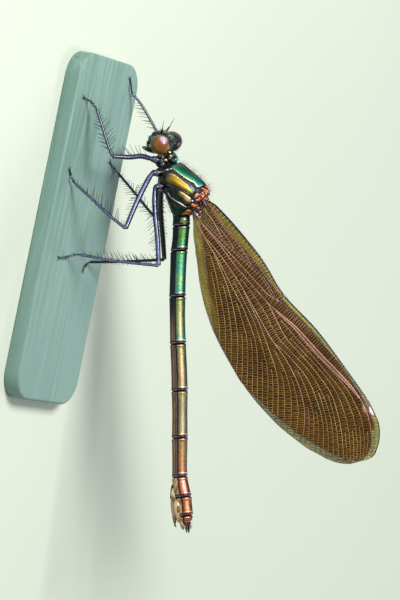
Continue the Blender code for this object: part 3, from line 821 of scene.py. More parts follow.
class Wing:
    def __init__(self, pair, hand):
        self.pair, self.hand = pair, hand
        self.name = f"wing_{pair}_{'left' if hand > 0 else 'right'}"
        self.root, self.span, self.edges = (
            (FORE_ROOT, FORE_SPAN, FORE_EDGES) if pair == "fore" else (HIND_ROOT, HIND_SPAN, HIND_EDGES)
        )
        self.plane = hand * (0.5 if pair == "fore" else 1.5) * WING_STEP
        self.random = random.Random(f"{pair}{hand}")
        # the far wings lie a little off the near ones
        self.slip = (0.0, 0.0) if hand > 0 else (1.1, 0.9)

    def lift(self, s, n):
        """Height of the wing's skin over its plane: shallow pleats, fading to the tip."""
        depth = 0.022 * np.clip(1.25 - np.asarray(s) / 300.0, 0.3, 1.0)
        pleat = np.sin(np.asarray(n) * 0.62 + np.asarray(s) * 0.045)
        bow = 0.05 * np.sin(np.asarray(s) / 96.0) - 0.05 * np.sin(np.asarray(n) / 26.0)
        return self.hand * (depth * pleat + bow)

    def at(self, s, n, up=0.0):
        s, n = np.asarray(s, float), np.asarray(n, float)
        u = self.root[0] + WING_AXIS[0] * s + WING_AXIS[1] * n
        v = self.root[1] + WING_AXIS[1] * s - WING_AXIS[0] * n
        return side(u, v, self.plane + self.lift(s, n) + up * self.hand)

    def lead(self, s):
        return at_key(self.edges, np.asarray(s) / self.span)[:, 1]

    def trail(self, s):
        return at_key(self.edges, np.asarray(s) / self.span)[:, 2]

    def vein(self, key, s):
        """How far toward the front a vein of this wing lies, at distances along it."""
        s = np.atleast_1d(np.asarray(s, float))
        if key == "edge":
            return self.lead(s)
        if key == "margin":
            return self.trail(s)
        hind = Wing.model
        scale = self.span / HIND_SPAN
        own = s / scale
        rows = hind.paths[key]
        n = np.interp(own, rows[:, 0], rows[:, 1])
        if self.pair == "hind":
            shift = 0.0 if self.hand > 0 else 0.9 * np.sin(own / 37.0 + len(key))
            fall = fade(self.span - s, 2, 30) * fade(s, 10, 40)
            n = n + shift * fall
        else:
            a, b = hind.lead(own), hind.trail(own)
            c, d = self.lead(s), self.trail(s)
            near = c - (a - n)  # keeps its distance from the leading edge
            far = d + (n - b) / (a - b) * (c - d)
            far_share = fade((a - n) / (a - b), 0.1, 0.5)
            n = near * (1 - far_share) + far * far_share
            if key == "radius":  # leaves the vein ahead of it gently
                wide = np.interp(s, (0, 30, 48, 66, 93), (4.0, 8.8, 8.2, 7.6, 6.8))
                n = n + (c - wide - 1.6 - n) * (1 - fade(s, 34, 92))
            if key == "sub":
                wide = np.interp(s, (0, 30, 48, 66, 93, 105, 115, 120), (4.0, 8.8, 8.2, 7.6, 6.8, 5.0, 3.7, 1.0))
                n = c - wide
        return np.clip(n, self.trail(s), self.lead(s))

    def outline(self):
        rows = np.asarray(self.edges)
        front = np.stack([rows[:, 0] * self.span, rows[:, 1]], 1)
        back = np.stack([rows[:, 0] * self.span, rows[:, 2]], 1)[::-1]
        front = at_key(self.edges, np.linspace(-0.03, 1.0, 160))
        front = np.stack([np.linspace(-0.03, 1.0, 160) * self.span, front[:, 1]], 1)
        behind = at_key(self.edges, np.linspace(1.0, -0.03, 160))
        behind = np.stack([np.linspace(1.0, -0.03, 160) * self.span, behind[:, 2]], 1)
        tip = through(np.array([front[-6], front[-1], (front[-1] + behind[0]) / 2 + (1.2, 0), behind[0], behind[5]]), 6)
        tip = tip[6:-6]
        line = resampled(np.concatenate([front[:-1], tip, behind[1:]]), 1.0)
        for _ in range(10):  # no corners round the tip
            share = fade(line[1:-1, 0], 0.93 * self.span, 0.97 * self.span)[:, None] * 0.5
            line[1:-1] += share * ((line[:-2] + line[2:]) / 2 - line[1:-1])
        return line


Wing.model = None


def upto(row, outline):
    """A line of (s, n) cut where it leaves the wing."""
    held = inside(row, outline)
    tail = len(row) // 2
    gone = np.nonzero(~held[tail:])[0]
    return row[: tail + gone[0]] if len(gone) else row


def vein_lines(wing, outline):
    """Every long vein and every cross vein of a wing, as rows of (s, n)."""
    scale = wing.span / HIND_SPAN
    lines, rungs = [], []
    for upper, lower, start, end_up, end_low in FIELDS:
        nodal = wing.pair == "fore" and upper == "edge"
        wide = 4.5
        length = (max(end_up, end_low) - start) * scale
        count = max(4, int(length * 1.15))
        t = np.linspace(0, 1, count)
        # veins bend to the margin near its end, so cells lean there
        sa = (start + (end_up - start) * t) * scale
        sb = (start + (end_low - start) * t) * scale
        a = np.stack([sa, wing.vein(upper, sa)], 1)
        b = np.stack([sb, wing.vein(lower, sb)], 1)
        if upper != "edge" and lower != "margin" and end_up != end_low:
            # on to the wing's margin, past the ends of the two veins
            ways = [unit(row[-1] - row[-5]) for row in (a, b)]
            reach = np.arange(1, 13)[:, None] * 0.9
            a = np.concatenate([a, a[-1] + ways[0] * reach])
            b = np.concatenate([b, b[-1] + ways[1] * reach])
            t = np.concatenate([t, np.ones(12)])
            sa, sb, count = a[:, 0], b[:, 0], count + 12
        way = unit(np.gradient((a + b) / 2, axis=0))
        gap = np.abs((a - b)[:, 0] * way[:, 1] - (a - b)[:, 1] * way[:, 0])
        fractions = {0.0: 0, 1.0: 0}
        if upper != "edge" and (upper, lower) != ("sub", "radius"):
            for level in (1, 2, 3, 4):
                need = wide * 2**level * 0.82
                wide_at = np.nonzero(gap > need)[0]
                if not len(wide_at):
                    break
                for k in range(1, 2**level, 2):
                    first = wide_at[0] + (int(10 * wing.random.random()) if wide_at[0] else 0)
                    fractions[k / 2**level] = max(first, 0)
        order = sorted(fractions)
        bend = {
            f: 0.35 * np.sin(t * 9.0 * (1 + f) + 7 * f) * np.sin(math.pi * np.clip(t * 1.02, 0, 1)) for f in order
        }

        def point(i, f):
            p = a[i] * f + b[i] * (1 - f)
            if 0 < f < 1:
                p = p + np.array((-way[i, 1], way[i, 0])) * bend[f][i]
            return p

        for f in order[1:-1]:
            first = fractions[f]
            if count - first > 3:
                row = np.array([point(i, f) for i in range(first, count)])
                lines.append((upto(row, outline), "fine"))
        # cross veins stand square to the long veins on both sides of them
        spans = []
        for level in range(0, 5):
            active = [f for f in order if f in (0.0, 1.0) or (f * 2**level) % 1 == 0]
            for low, high in zip(active, active[1:]):
                middle = (low + high) / 2
                begin = max(fractions[low], fractions[high])
                stop = fractions.get(middle, count)
                if stop > begin and (low, high, begin, stop) not in spans:
                    spans.append((low, high, begin, stop))
            if len(active) == len(order):
                break
        for low, high, begin, stop in spans:
            top = np.array([point(i, high) for i in range(count)])
            foot = np.array([point(i, low) for i in range(count)])
            step = np.linalg.norm(np.diff((top + foot) / 2, axis=0), axis=1)
            wait = wing.random.random() * 2.0
            for i in range(max(1, begin), min(stop, count - 1)):
                pitch = 2.35 if gap[i] > 3.2 else 2.9
                if upper == "edge":
                    pitch = (3.5 if sa[i] < NODUS[wing.pair] else 2.5) if wing.pair == "hind" else (
                        5.2 - 2.4 * min(1, sa[i] / 125) if sa[i] < NODUS["fore"] else 3.2
                    )
                elif high - low == 1.0 and upper in ("sub", "radius", "fourth") and sa[i] < 60:
                    pitch = 3.2
                wait += step[i - 1]
                if wait < pitch:
                    continue
                wait -= pitch
                middle = (top[i] + foot[i]) / 2
                along = unit(top[i + 1] - top[i - 1] + foot[i + 1] - foot[i - 1])
                ends = []
                for row in (top, foot):
                    off = (row - middle) @ along + wing.random.uniform(-0.25, 0.25)
                    k = int(np.argmin(np.abs(off)))
                    ends.append(row[k] - along * np.clip(off[k], -0.8, 0.8))
                size = np.linalg.norm(ends[0] - ends[1])
                if 0.7 < size < 14.0:
                    rungs.append((ends[0], ends[1], upper == "edge"))
    # cross veins end at the margin
    top, foot = (np.array([r[k] for r in rungs]) for k in (0, 1))
    edge = np.array([r[2] for r in rungs])
    held = inside((top + foot) / 2, outline)
    for ends, others in ((foot, top), (top, foot)):
        out = held & ~inside(ends, outline)
        low, high = np.zeros(len(ends)), np.ones(len(ends))
        for _ in range(9):
            middle = (low + high) / 2
            within = inside(others + (ends - others) * middle[:, None], outline)
            low, high = np.where(within, middle, low), np.where(within, high, middle)
        ends[out] = (others + (ends - others) * low[:, None])[out]
    held &= np.linalg.norm(top - foot, axis=1) > 0.7
    rungs = [(a, b, c) for a, b, c in zip(top[held], foot[held], edge[held])]
    # shared main veins
    for key, rows in HIND_VEINS.items():
        s = np.arange(rows[0][0], rows[-1][0] + 0.5, 1.0) * scale
        if wing.pair == "fore" and key == "sub":
            s = np.arange(-2.0, NODUS["fore"] - 1.0, 1.0)
        row = np.stack([s, wing.vein(key, s)], 1)
        if key != "sub":
            reach = np.arange(1, 13)[:, None] * 0.9
            row = upto(np.concatenate([row, row[-1] + unit(row[-1] - row[-5]) * reach]), outline)
        lines.append((row, key))
    return lines, rungs


def membrane(wing, outline, paints):
    """The wing's thin skin: one sheet over the whole outline."""
    rng = wing.random
    grid = []
    low, high = outline.min(axis=0), outline.max(axis=0)
    for s in np.arange(low[0] + 1.2, high[0] - 1.0, 1.7):
        lead, trail = wing.lead([s])[0], wing.trail([s])[0]
        for n in np.arange(trail + 1.4, lead - 1.0, 1.7):
            grid.append((s + rng.uniform(-0.2, 0.2), n + rng.uniform(-0.2, 0.2)))
    points = [Vector(p) for p in outline] + [Vector(p) for p in grid]
    border = list(range(len(outline)))
    made = delaunay_2d_cdt(points, [], [border], 1, 1e-5)
    flat = np.array([tuple(p) for p in made[0]])
    faces = np.array([f for f in made[2] if len(f) == 3])

    def veil(s, n):
        """How pale and clear the skin is: 0 in the smoky field, 1 in the margins."""
        if wing.pair == "hind":
            inner = wing.vein("eighth", np.clip(s, 4, 103))
            pale = fade(inner - n, -1.5, 4.5) * (1 - fade(s, 84, 124))
            strip = (1 - fade(n - wing.trail(s), 6, 13)) * (1 - fade(s, 84, 124))
            return np.maximum(np.maximum(pale, strip), (1 - fade(s, 4, 60)) * 0.42)
        front = wing.lead(s) - np.interp(s, (0, 30, 118, 126, 270), (4.0, 8.8, 3.6, 3.8, 4.4))
        behind = wing.trail(s) + np.interp(s, (0, 60, 120, 200, 290), (2.0, 9.0, 5.0, 7.0, 9.0))
        dark = (0.66 + 0.34 * fade(s, 4, 60)) * (1 - fade(s, 0.905 * wing.span, 0.95 * wing.span))
        return 1 - dark * fade(front - n, -0.7, 0.9) * fade(n - behind, -1.5, 1.8)

    middle = flat[faces].mean(axis=1)
    pale = veil(middle[:, 0], middle[:, 1])
    mats = np.where(pale > 0.5, 1, 0)
    if wing.pair == "fore":  # past the nodus its margins are clearer
        mats[(middle[:, 0] > NODUS["fore"]) & (pale > 0.72)] = 2
    else:  # a clearer strip along the margin beside the body
        mats[(middle[:, 1] - wing.trail(middle[:, 0]) < 9.5) & (middle[:, 0] < 100) & (pale > 0.4)] = 2
    shape = Shape("veil", "root")
    off_trail, off_lead = flat[:, 1] - wing.trail(flat[:, 0]), wing.lead(flat[:, 0]) - flat[:, 1]
    root = (1 - fade(flat[:, 0], 6, 90)) * fade(off_trail, 6, 14)
    if wing.pair == "fore":
        root = root * (1 - (1 - fade(off_lead, 3.5, 9.0)) * fade(flat[:, 0], 6, 26))
    shape.add(wing.at(flat[:, 0], flat[:, 1]), faces, mats, veil=veil(flat[:, 0], flat[:, 1]), root=root)
    return shape.build(wing.name + "_skin", paints, (wing.name,))


def wing_paint(name, smoky, clear, alpha):
    """Brown skin that pales to olive in the margins, mottled by its folds."""
    paint = Paint(name, roughness=0.4, alpha=alpha, specular_ior_level=0.14, coat_weight=0.05, coat_roughness=0.2)
    cloud = paint.fit(paint.noise(1.6, 3.0, 0.55), 0.36, 0.66)
    fine = paint.fit(paint.cells(0.3), 0.0, 0.7, 0.3, 0.0)
    veil = paint.math("MULTIPLY_ADD", paint.noise(0.5, 2.0), 0.3, paint.attr("veil"))
    veil = paint.fit(veil, 0.15, 1.15)
    tone = paint.mix(veil, paint.mix(cloud, *smoky), paint.mix(cloud, *clear))
    tone = paint.mix(fine, tone, smoky[1])
    rusty = paint.fit(paint.noise(0.7, 3.0, 0.6), 0.35, 0.65, 0.35, 0.95)
    tone = paint.mix(paint.math("MULTIPLY", rusty, paint.attr("root")), tone, srgb(72, 44, 0))
    paint.put(base_color=tone, normal=paint.bump(paint.noise(0.35, 2.0), 0.012))
    return paint.material


def vein_paint(name, colour, other, rough=0.35, metallic=0.0):
    paint = Paint(name, roughness=rough, metallic=metallic, specular_ior_level=0.5, coat_weight=0.3, coat_roughness=0.25)
    cloud = paint.noise(1.2, 2.0)
    paint.put(
        base_color=paint.mix(paint.fit(cloud, 0.4, 0.62), colour, other),
        normal=paint.bump(paint.noise(0.05, 2.0), 0.004),
    )
    return paint.material


def make_wings():
    Wing.model = model = Wing("hind", 1)
    model.paths = {
        key: through(np.array(rows, float), 12) for key, rows in HIND_VEINS.items()
    }
    smoky, clear = (srgb(72, 46, 0), srgb(50, 30, 0)), (srgb(122, 108, 8), srgb(96, 80, 0))
    hind_skin = [
        wing_paint("wing_skin_dark", smoky, clear, 0.87),
        wing_paint("wing_skin_olive", smoky, clear, 0.85),
        wing_paint("wing_skin_edge", smoky, (srgb(134, 126, 8), srgb(106, 94, 0)), 0.78),
    ]
    smoky, clear = (srgb(86, 55, 0), srgb(60, 36, 0)), (srgb(132, 124, 10), srgb(104, 94, 2))
    fore_skin = [
        wing_paint("wing_skin_brown", smoky, clear, 0.87),
        wing_paint("wing_skin_gold", smoky, clear, 0.86),
        wing_paint("wing_skin_clear", smoky, (srgb(162, 166, 34), srgb(132, 138, 16)), 0.58),
    ]
    costa = vein_paint("vein_costa", srgb(12, 30, 26), srgb(26, 30, 52), 0.22, 0.5)
    hind_veins = [
        vein_paint("vein_tan", srgb(166, 128, 70), srgb(142, 104, 56)),
        vein_paint("vein_pink", srgb(182, 130, 120), srgb(154, 104, 94)),
        vein_paint("vein_mauve", srgb(78, 60, 78), srgb(56, 42, 60), 0.3),
        vein_paint("vein_margin", srgb(60, 66, 84), srgb(96, 106, 130), 0.25, 0.3),
        vein_paint("vein_stigma", srgb(150, 96, 66), srgb(170, 110, 84), 0.4),
        vein_paint("vein_brown", srgb(96, 62, 32), srgb(74, 44, 24), 0.35),
        vein_paint("vein_rung", srgb(196, 152, 112), srgb(168, 122, 90)),
        # pale pink veins of the stretch past the nodus: a painted sheen
        vein_paint("vein_pink_sheen", srgb(212, 158, 150), srgb(188, 132, 124), 0.3),
    ]
    fore_veins = [
        vein_paint("vein_olive", srgb(172, 130, 84), srgb(144, 102, 66)),
        vein_paint("vein_rose", srgb(164, 110, 100), srgb(134, 88, 76)),
        costa,
        vein_paint("vein_green", srgb(30, 62, 44), srgb(24, 44, 40), 0.25, 0.3),
        vein_paint("vein_white", srgb(236, 240, 238), srgb(222, 226, 224), 0.45),
        hind_veins[5],
        vein_paint("vein_rung_gold", srgb(206, 172, 116), srgb(178, 138, 92)),
        hind_veins[7],
        vein_paint("vein_cream", srgb(228, 206, 142), srgb(204, 178, 116)),
    ]
    for pair in ("hind", "fore"):
        for hand in (1, -1):
            wing = Wing(pair, hand)
            outline = wing.outline()
            membrane(wing, outline, hind_skin if pair == "hind" else fore_skin)
            lines, rungs = vein_lines(wing, outline)
            shape = Shape()
            top = np.array([r[0] for r in rungs])
            foot = np.array([r[1] for r in rungs])
            size = np.array([0.044 if r[2] else 0.034 for r in rungs])
            size = size + 0.008 * (1 - fade(foot[:, 0], 60, 150)) * fade(foot[:, 1], -34, -14) * fade(foot[:, 0], 10, 50)
            size = size * (0.9 + 0.1 * fade(foot[:, 0], 30, 90))
            rosy = fade(foot[:, 1], -30, -8) * (1 - 0.7 * fade(foot[:, 0], 100, 210)) > 0.45
            costal = np.array([r[2] for r in rungs]) & (pair == "fore")
            size = size + 0.018 * costal
            for pick, mat in ((~rosy & ~costal, 0), (rosy & ~costal, 6), (costal, 8)):
                if not pick.any():
                    continue
                shape.sticks(
                    wing.at(top[pick, 0], top[pick, 1], 0.03),
                    wing.at(foot[pick, 0], foot[pick, 1], 0.03),
                    size[pick], size[pick] * 0.9, 4, mat,
                )
            for path, key in lines:
                if len(path) < 3:
                    continue
                points = wing.at(path[:, 0], path[:, 1], 0.035)
                if key == "fine":
                    share = np.linspace(0, 1, len(path))
                    shape.tube(points, 0.038 - 0.006 * share, 4, 0, up=LEFT)
                    continue
                big, small = VEIN_SIZES[key]
                share = np.linspace(0, 1, len(path))
                mat = 1 if key in ("sub", "radius", "fourth") else 0
                if key == "eighth":
                    mat = 5
                shape.tube(points, big + (small - big) * share, 5, mat, up=LEFT)
            cut = int(np.argmax(outline[:, 0]))
            front, behind = outline[: cut + 1], outline[cut:]
            s = front[:, 0]
            near = fade(s, -5, 8)
            radius = (0.085 + 0.03 * fade(s, 150, 20) - 0.03 * fade(s, 200, 290)) * (1.0 if pair == "fore" else 0.6)
            inset = front - np.array((0, 1.0)) * (radius / UNIT)[:, None]
            shape.tube(wing.at(inset[:, 0], inset[:, 1], 0.02), radius * (0.5 + 0.5 * near), 6, 2, up=LEFT)
            # a pale strip along the inner side of the front vein, as far as the nodus: a painted highlight of that vein
            s = np.arange(4.0, NODUS[pair] + 1.0, 1.0)
            n = wing.lead(s) - 2.4
            shape.tube(wing.at(s, n, 0.05), 0.04 if pair == "fore" else 0.03, 4, 0, up=LEFT)
            beads = 0.036 + 0.014 * np.sin(np.arange(len(behind)) * 2.2)
            inset = behind + np.array((0, 1.0)) * 0.3
            shape.tube(wing.at(inset[:, 0], inset[:, 1], 0.0), beads, 5, 3, up=LEFT)
            if pair == "hind":  # the bright stretch past the nodus, a ladder of pale cells, their pale pink a painted sheen
                s = np.arange(122.0, 246.0, 1.0)
                share = np.linspace(0, 1, len(s))
                n = wing.vein("radius", s) + 0.2
                wide = 3.1 * np.sin(math.pi * share) ** 0.5
                glow = 0.040 + 0.016 * np.sin(math.pi * share) ** 0.6
                shape.tube(wing.at(s, n, 0.05), glow, 6, 7, up=LEFT, squash=0.7)
                shape.tube(wing.at(s, n - wide, 0.05), glow * 0.8, 6, 7, up=LEFT, squash=0.7)
                s = np.arange(124.0, 244.0, 1.45)
                s = s + np.array([wing.random.uniform(-0.25, 0.25) for _ in s])
                wide = 3.1 * np.sin(math.pi * (s - 122.0) / 124.0) ** 0.5
                n = wing.vein("radius", s) + 0.2
                shape.sticks(wing.at(s, n, 0.045), wing.at(s - 0.5, n - wide, 0.045), 0.040, 0.036, 4, 7)
            # the nodus, and the small bright cell near the tip
            knot = NODUS[pair]
            lead = wing.lead([knot])[0]
            shape.tube(
                wing.at([knot - 2.5, knot, knot + 2.0], [lead - 1.2, lead - 1.6, lead - 0.8], 0.05),
                (0.06, 0.12, 0.05), 6, 1, up=LEFT,
            )
            spot = 266.2 if pair == "fore" else 254.5
            s = np.linspace(spot - 4.6, spot + 4.6, 12)
            lead = wing.lead(s)
            rows = []
            for k in np.linspace(0, 1, 5):
                width = np.sin(np.clip((s - s[0]) / (s[-1] - s[0]), 0.04, 0.96) * math.pi) ** 0.35
                rows.append(wing.at(s, lead - 1.5 - k * 3.4 * width, 0.05 + 0.05 * math.sin(math.pi * k)))
            over = np.array(rows)
            under = np.array(
                [wing.at(s, lead - 1.5 - k * 3.4 * width, -0.04 - 0.04 * math.sin(math.pi * k)) for k in np.linspace(1, 0, 5)]
            )
            shape.grid(np.concatenate([over, under]).transpose(1, 0, 2), True, 4, (True, True))
            shape.build(wing.name + "_veins", hind_veins if pair == "hind" else fore_veins)


# ---- skins and tones ----------------------------------------------------------------
def fused(shape, voxel, relax=2):
    """One closed skin round overlapping forms: its points in millimetres, and quads."""
    mesh = bpy.data.meshes.new("lumps")
    faces = [tuple(f) for block in shape.faces for f in block.tolist()]
    mesh.from_pydata(np.concatenate(shape.points).tolist(), [], faces)
    obj = bpy.data.objects.new("lumps", mesh)
    bpy.context.collection.objects.link(obj)
    skin = obj.modifiers.new("skin", "REMESH")
    skin.mode, skin.voxel_size, skin.adaptivity = "VOXEL", voxel, 0.0
    soft = obj.modifiers.new("soft", "SMOOTH")
    soft.factor, soft.iterations = 0.5, relax
    shown = obj.evaluated_get(bpy.context.evaluated_depsgraph_get())
    made = shown.to_mesh()
    points = np.empty(len(made.vertices) * 3, np.float32)
    made.vertices.foreach_get("co", points)
    loops = np.empty(len(made.loops), np.int32)
    made.loops.foreach_get("vertex_index", loops)
    shown.to_mesh_clear()
    bpy.data.objects.remove(obj)
    bpy.data.meshes.remove(mesh)
    return points.reshape(-1, 3).astype(float), loops.reshape(-1, 4).astype(int)


def near(points, middle, radius, soft=0.4):
    """1 within a radius of a point, fading to 0 past it."""
    far = np.linalg.norm(np.asarray(points) - middle, axis=-1) / radius
    return 1 - fade(far, 1 - soft, 1 + soft)


def near_path(points, path, radius, soft=0.4):
    far = np.full(len(points), 1e9)
    for a, b in zip(path[:-1], path[1:]):
        way = b - a
        share = np.clip(((points - a) @ way) / (way @ way), 0, 1)
        far = np.minimum(far, np.linalg.norm(points - a - share[:, None] * way, axis=1))
    return 1 - fade(far / radius, 1 - soft, 1 + soft)


class Tones:
    """Linear colours for points, laid over one another by rule."""

    def __init__(self, count, base):
        self.rgb = np.broadcast_to(np.asarray(base, float), (count, 3)).copy()

    def over(self, share, colour):
        share = np.clip(np.broadcast_to(share, (len(self.rgb),)), 0, 1)[:, None]
        self.rgb = self.rgb * (1 - share) + np.asarray(colour) * share
        return self

    def fields(self):
        return {"red": self.rgb[:, 0], "green": self.rgb[:, 1], "blue": self.rgb[:, 2]}


TONES = ("red", "green", "blue")


def toned(paint):
    return paint.node(
        "ShaderNodeCombineColor",
        0,
        {"Red": paint.attr("red"), "Green": paint.attr("green"), "Blue": paint.attr("blue")},
    )


def shell_paint(name, metallic=0.75, rough=0.32, spread=0.4, grain=0.085, depth=0.006, pits=0.0, coat=0.3):
    """Shell painted from the tones on its points, with a hammered grain."""
    paint = Paint(name, metallic=metallic, roughness=rough, coat_weight=coat, coat_roughness=0.22)
    tone = toned(paint)
    dot = paint.node("ShaderNodeSeparateColor", 0, {0: paint.cells(grain, out="Color")})
    cloud = paint.noise(0.3, 3.0, 0.6)
    dark = paint.mix(1.0, tone, (0.45, 0.45, 0.5), "MULTIPLY")
    light_tone = paint.mix(1.0, tone, (1.45, 1.4, 1.3), "MULTIPLY")
    colour = paint.mix(paint.fit(dot, 0.2, 0.95, 0.0, spread), tone, dark)
    colour = paint.mix(paint.fit(cloud, 0.55, 0.72, 0.0, spread), colour, light_tone)
    paint.put(base_color=colour, roughness=paint.fit(cloud, 0.35, 0.7, rough - 0.07, rough + 0.12))
    normal = paint.bump(paint.cells(grain), depth)
    normal = paint.bump(paint.noise(0.04, 2.0, 0.6), depth * 0.6, normal)
    if pits:
        normal = paint.bump(paint.noise(0.22, 2.0, 0.5), pits, normal)
    paint.put(normal=normal)
    return paint.material


def hair_paint(name, colour, other):
    paint = Paint(name, roughness=0.5, specular_ior_level=0.3)
    paint.put(base_color=paint.mix(paint.fit(paint.noise(0.5, 2.0), 0.35, 0.65), colour, other))
    return paint.material


def hairs(shape, roots, ways, lengths, thick, rng, droop=0.15, mat=0, uv=None, tip=0.3):
    """Fine bent hairs; each one's map patch is at its root."""
    roots, ways = np.asarray(roots, float), unit(ways)
    lengths = np.broadcast_to(np.asarray(lengths, float), (len(roots),))
    stray = rng.normal(size=(len(roots), 3)) * 0.16
    ways = unit(ways + stray)
    ends = roots + ways * lengths[:, None]
    bend = np.cross(ways, rng.normal(size=(len(roots), 3))) * (droop * lengths)[:, None]
    shape.sticks(roots, ends, thick, thick * tip, 3, mat, bend, 4, uv=uv)


# ---- trunk --------------------------------------------------------------------------
NECK = (
    (165.0, 150.6, 170.4, 149.8, 0.42, 0.0),
    (163.2, 153.0, 172.4, 152.2, 0.75, 0.05),
    (161.2, 156.6, 176.2, 155.4, 1.15, 0.1),
    (160.6, 160.0, 177.8, 158.8, 1.30, 0.1),
    (161.6, 163.2, 176.4, 161.2, 1.10, 0.1),
)
TRUNK = (
    (161.4, 165.0, 177.0, 162.2, 1.20, 0.15),
    (160.2, 170.0, 185.0, 166.0, 1.85, 0.30),
    (160.2, 177.5, 193.0, 172.5, 2.30, 0.38),
    (162.4, 185.0, 200.5, 178.8, 2.50, 0.38),
    (164.4, 192.5, 206.5, 185.8, 2.50, 0.32),
    (166.6, 199.5, 209.0, 192.4, 2.35, 0.25),
    (168.8, 206.0, 206.0, 202.0, 2.05, 0.18),
    (171.0, 211.6, 197.5, 211.2, 1.60, 0.10),
    (173.0, 216.2, 190.0, 216.2, 1.05, 0.0),
)
PLANE = (0.74, 2.3)  # mm per station and per radian, about


def trunk_at(stations, t, turn, swell=0.0):
    """The trunk's surface: t counts stations, turn goes from the back to the left."""
    t, turn, swell = np.broadcast_arrays(
        np.asarray(t, float), np.asarray(turn, float), np.asarray(swell, float)
    )
    form = t.shape
    t, turn, swell = t.ravel(), turn.ravel(), swell.ravel()
    row = catmull(stations, t)
    low, high = side(row[:, 0], row[:, 1]), side(row[:, 2], row[:, 3])
    middle, rise = (low + high) / 2, (high - low) / 2
    tall = np.linalg.norm(rise, axis=1)
    c, s = np.cos(turn), np.sin(turn)
    width = (row[:, 4] + swell) * (1 - row[:, 5] * c)
    points = middle + rise * ((1 + swell / tall) * c)[:, None] + LEFT * (width * s)[:, None]
    return points.reshape(*form, 3)


class Chart:
    """Finds the place on the left of the trunk that shows at a point of the drawing."""

    def __init__(self, stations):
        self.stations, self.last = stations, len(stations) - 1
        t = np.linspace(0, self.last, 24 * self.last + 1)
        turn = np.radians(np.arange(-4.0, 170.0, 1.25))
        t, turn = np.meshgrid(t, turn, indexing="ij")
        self.t, self.turn = t.ravel(), turn.ravel()
        self.uv = np.stack(seen(trunk_at(stations, self.t, self.turn)), 1)

    def find(self, points):
        points = np.asarray(points, float)
        best = np.argmin(((points[:, None] - self.uv[None]) ** 2).sum(-1), 1)
        t, turn = self.t[best].copy(), self.turn[best].copy()
        for _ in range(4):
            here = np.stack(seen(trunk_at(self.stations, t, turn)), 1)
            dt = (np.stack(seen(trunk_at(self.stations, t + 1e-3, turn)), 1) - here) / 1e-3
            da = (np.stack(seen(trunk_at(self.stations, t, turn + 1e-3)), 1) - here) / 1e-3
            gap = points - here
            det = dt[:, 0] * da[:, 1] - dt[:, 1] * da[:, 0]
            safe = np.where(np.abs(det) < 4.0, np.inf, det)
            t = t + np.clip((gap[:, 0] * da[:, 1] - gap[:, 1] * da[:, 0]) / safe, -0.05, 0.05)
            turn = turn + np.clip((dt[:, 0] * gap[:, 1] - dt[:, 1] * gap[:, 0]) / safe, -0.03, 0.03)
        return np.clip(t, -0.02, self.last), turn


def round_path(points, step):
    """A closed smooth outline through corner points."""
    points = np.asarray(points, float)
    wrapped = np.concatenate([points[-2:], points, points[:3]])
    fine = catmull(wrapped, np.linspace(2, 2 + len(points), len(points) * 8 + 1))
    return resampled(fine, step)[:-1]


def to_border(points, border):
    """Distance of flat points from a closed outline."""
    a, b = border, np.roll(border, -1, axis=0)
    way = b - a
    share = ((points[:, None] - a[None]) * way[None]).sum(-1) / (way**2).sum(-1)[None]
    foot = a[None] + np.clip(share, 0, 1)[..., None] * way[None]
    return np.linalg.norm(points[:, None] - foot, axis=-1).min(axis=1)


def inside(points, border):
    a, b = border, np.roll(border, -1, axis=0)
    x, y = points[:, None, 0], points[:, None, 1]
    cross = (a[None, :, 1] > y) != (b[None, :, 1] > y)
    slope = (b[:, 0] - a[:, 0]) / np.where(b[:, 1] == a[:, 1], 1e-9, b[:, 1] - a[:, 1])
    hit = x < slope[None] * (y - a[None, :, 1]) + a[None, :, 0]
    return ((cross & hit).sum(axis=1) % 2).astype(bool)


def filled(border, pitch, rims=(0.03, 0.065, 0.11, 0.17)):
    """Flat triangles that fill an outline, with rows of points that follow its edge."""
    ahead, behind = np.roll(border, -1, axis=0), np.roll(border, 1, axis=0)
    way = unit(ahead - behind)
    inward = np.stack([-way[:, 1], way[:, 0]], 1)
    if not inside(border + inward * 0.01, border).mean() > 0.5:
        inward = -inward
    rows = [border]
    for depth in rims:
        row = border + inward * depth
        keep = inside(row, border) & (to_border(row, border) > depth * 0.85)
        rows.append(row[keep])
    low, high = border.min(axis=0), border.max(axis=0)
    x, y = np.meshgrid(np.arange(low[0], high[0], pitch), np.arange(low[1], high[1], pitch))
    x = x + (np.arange(len(x)) % 2)[:, None] * pitch / 2
    grid = np.stack([x.ravel(), y.ravel()], 1)
    grid = grid[inside(grid, border)]
    grid = grid[to_border(grid, border) > rims[-1] + pitch * 0.6]
    points = np.concatenate(rows + [grid])
    made = delaunay_2d_cdt(
        [Vector(p) for p in points], [], [list(range(len(border)))], 1, 1e-6
    )
    return np.array([tuple(p) for p in made[0]]), np.array([f for f in made[2] if len(f) == 3])


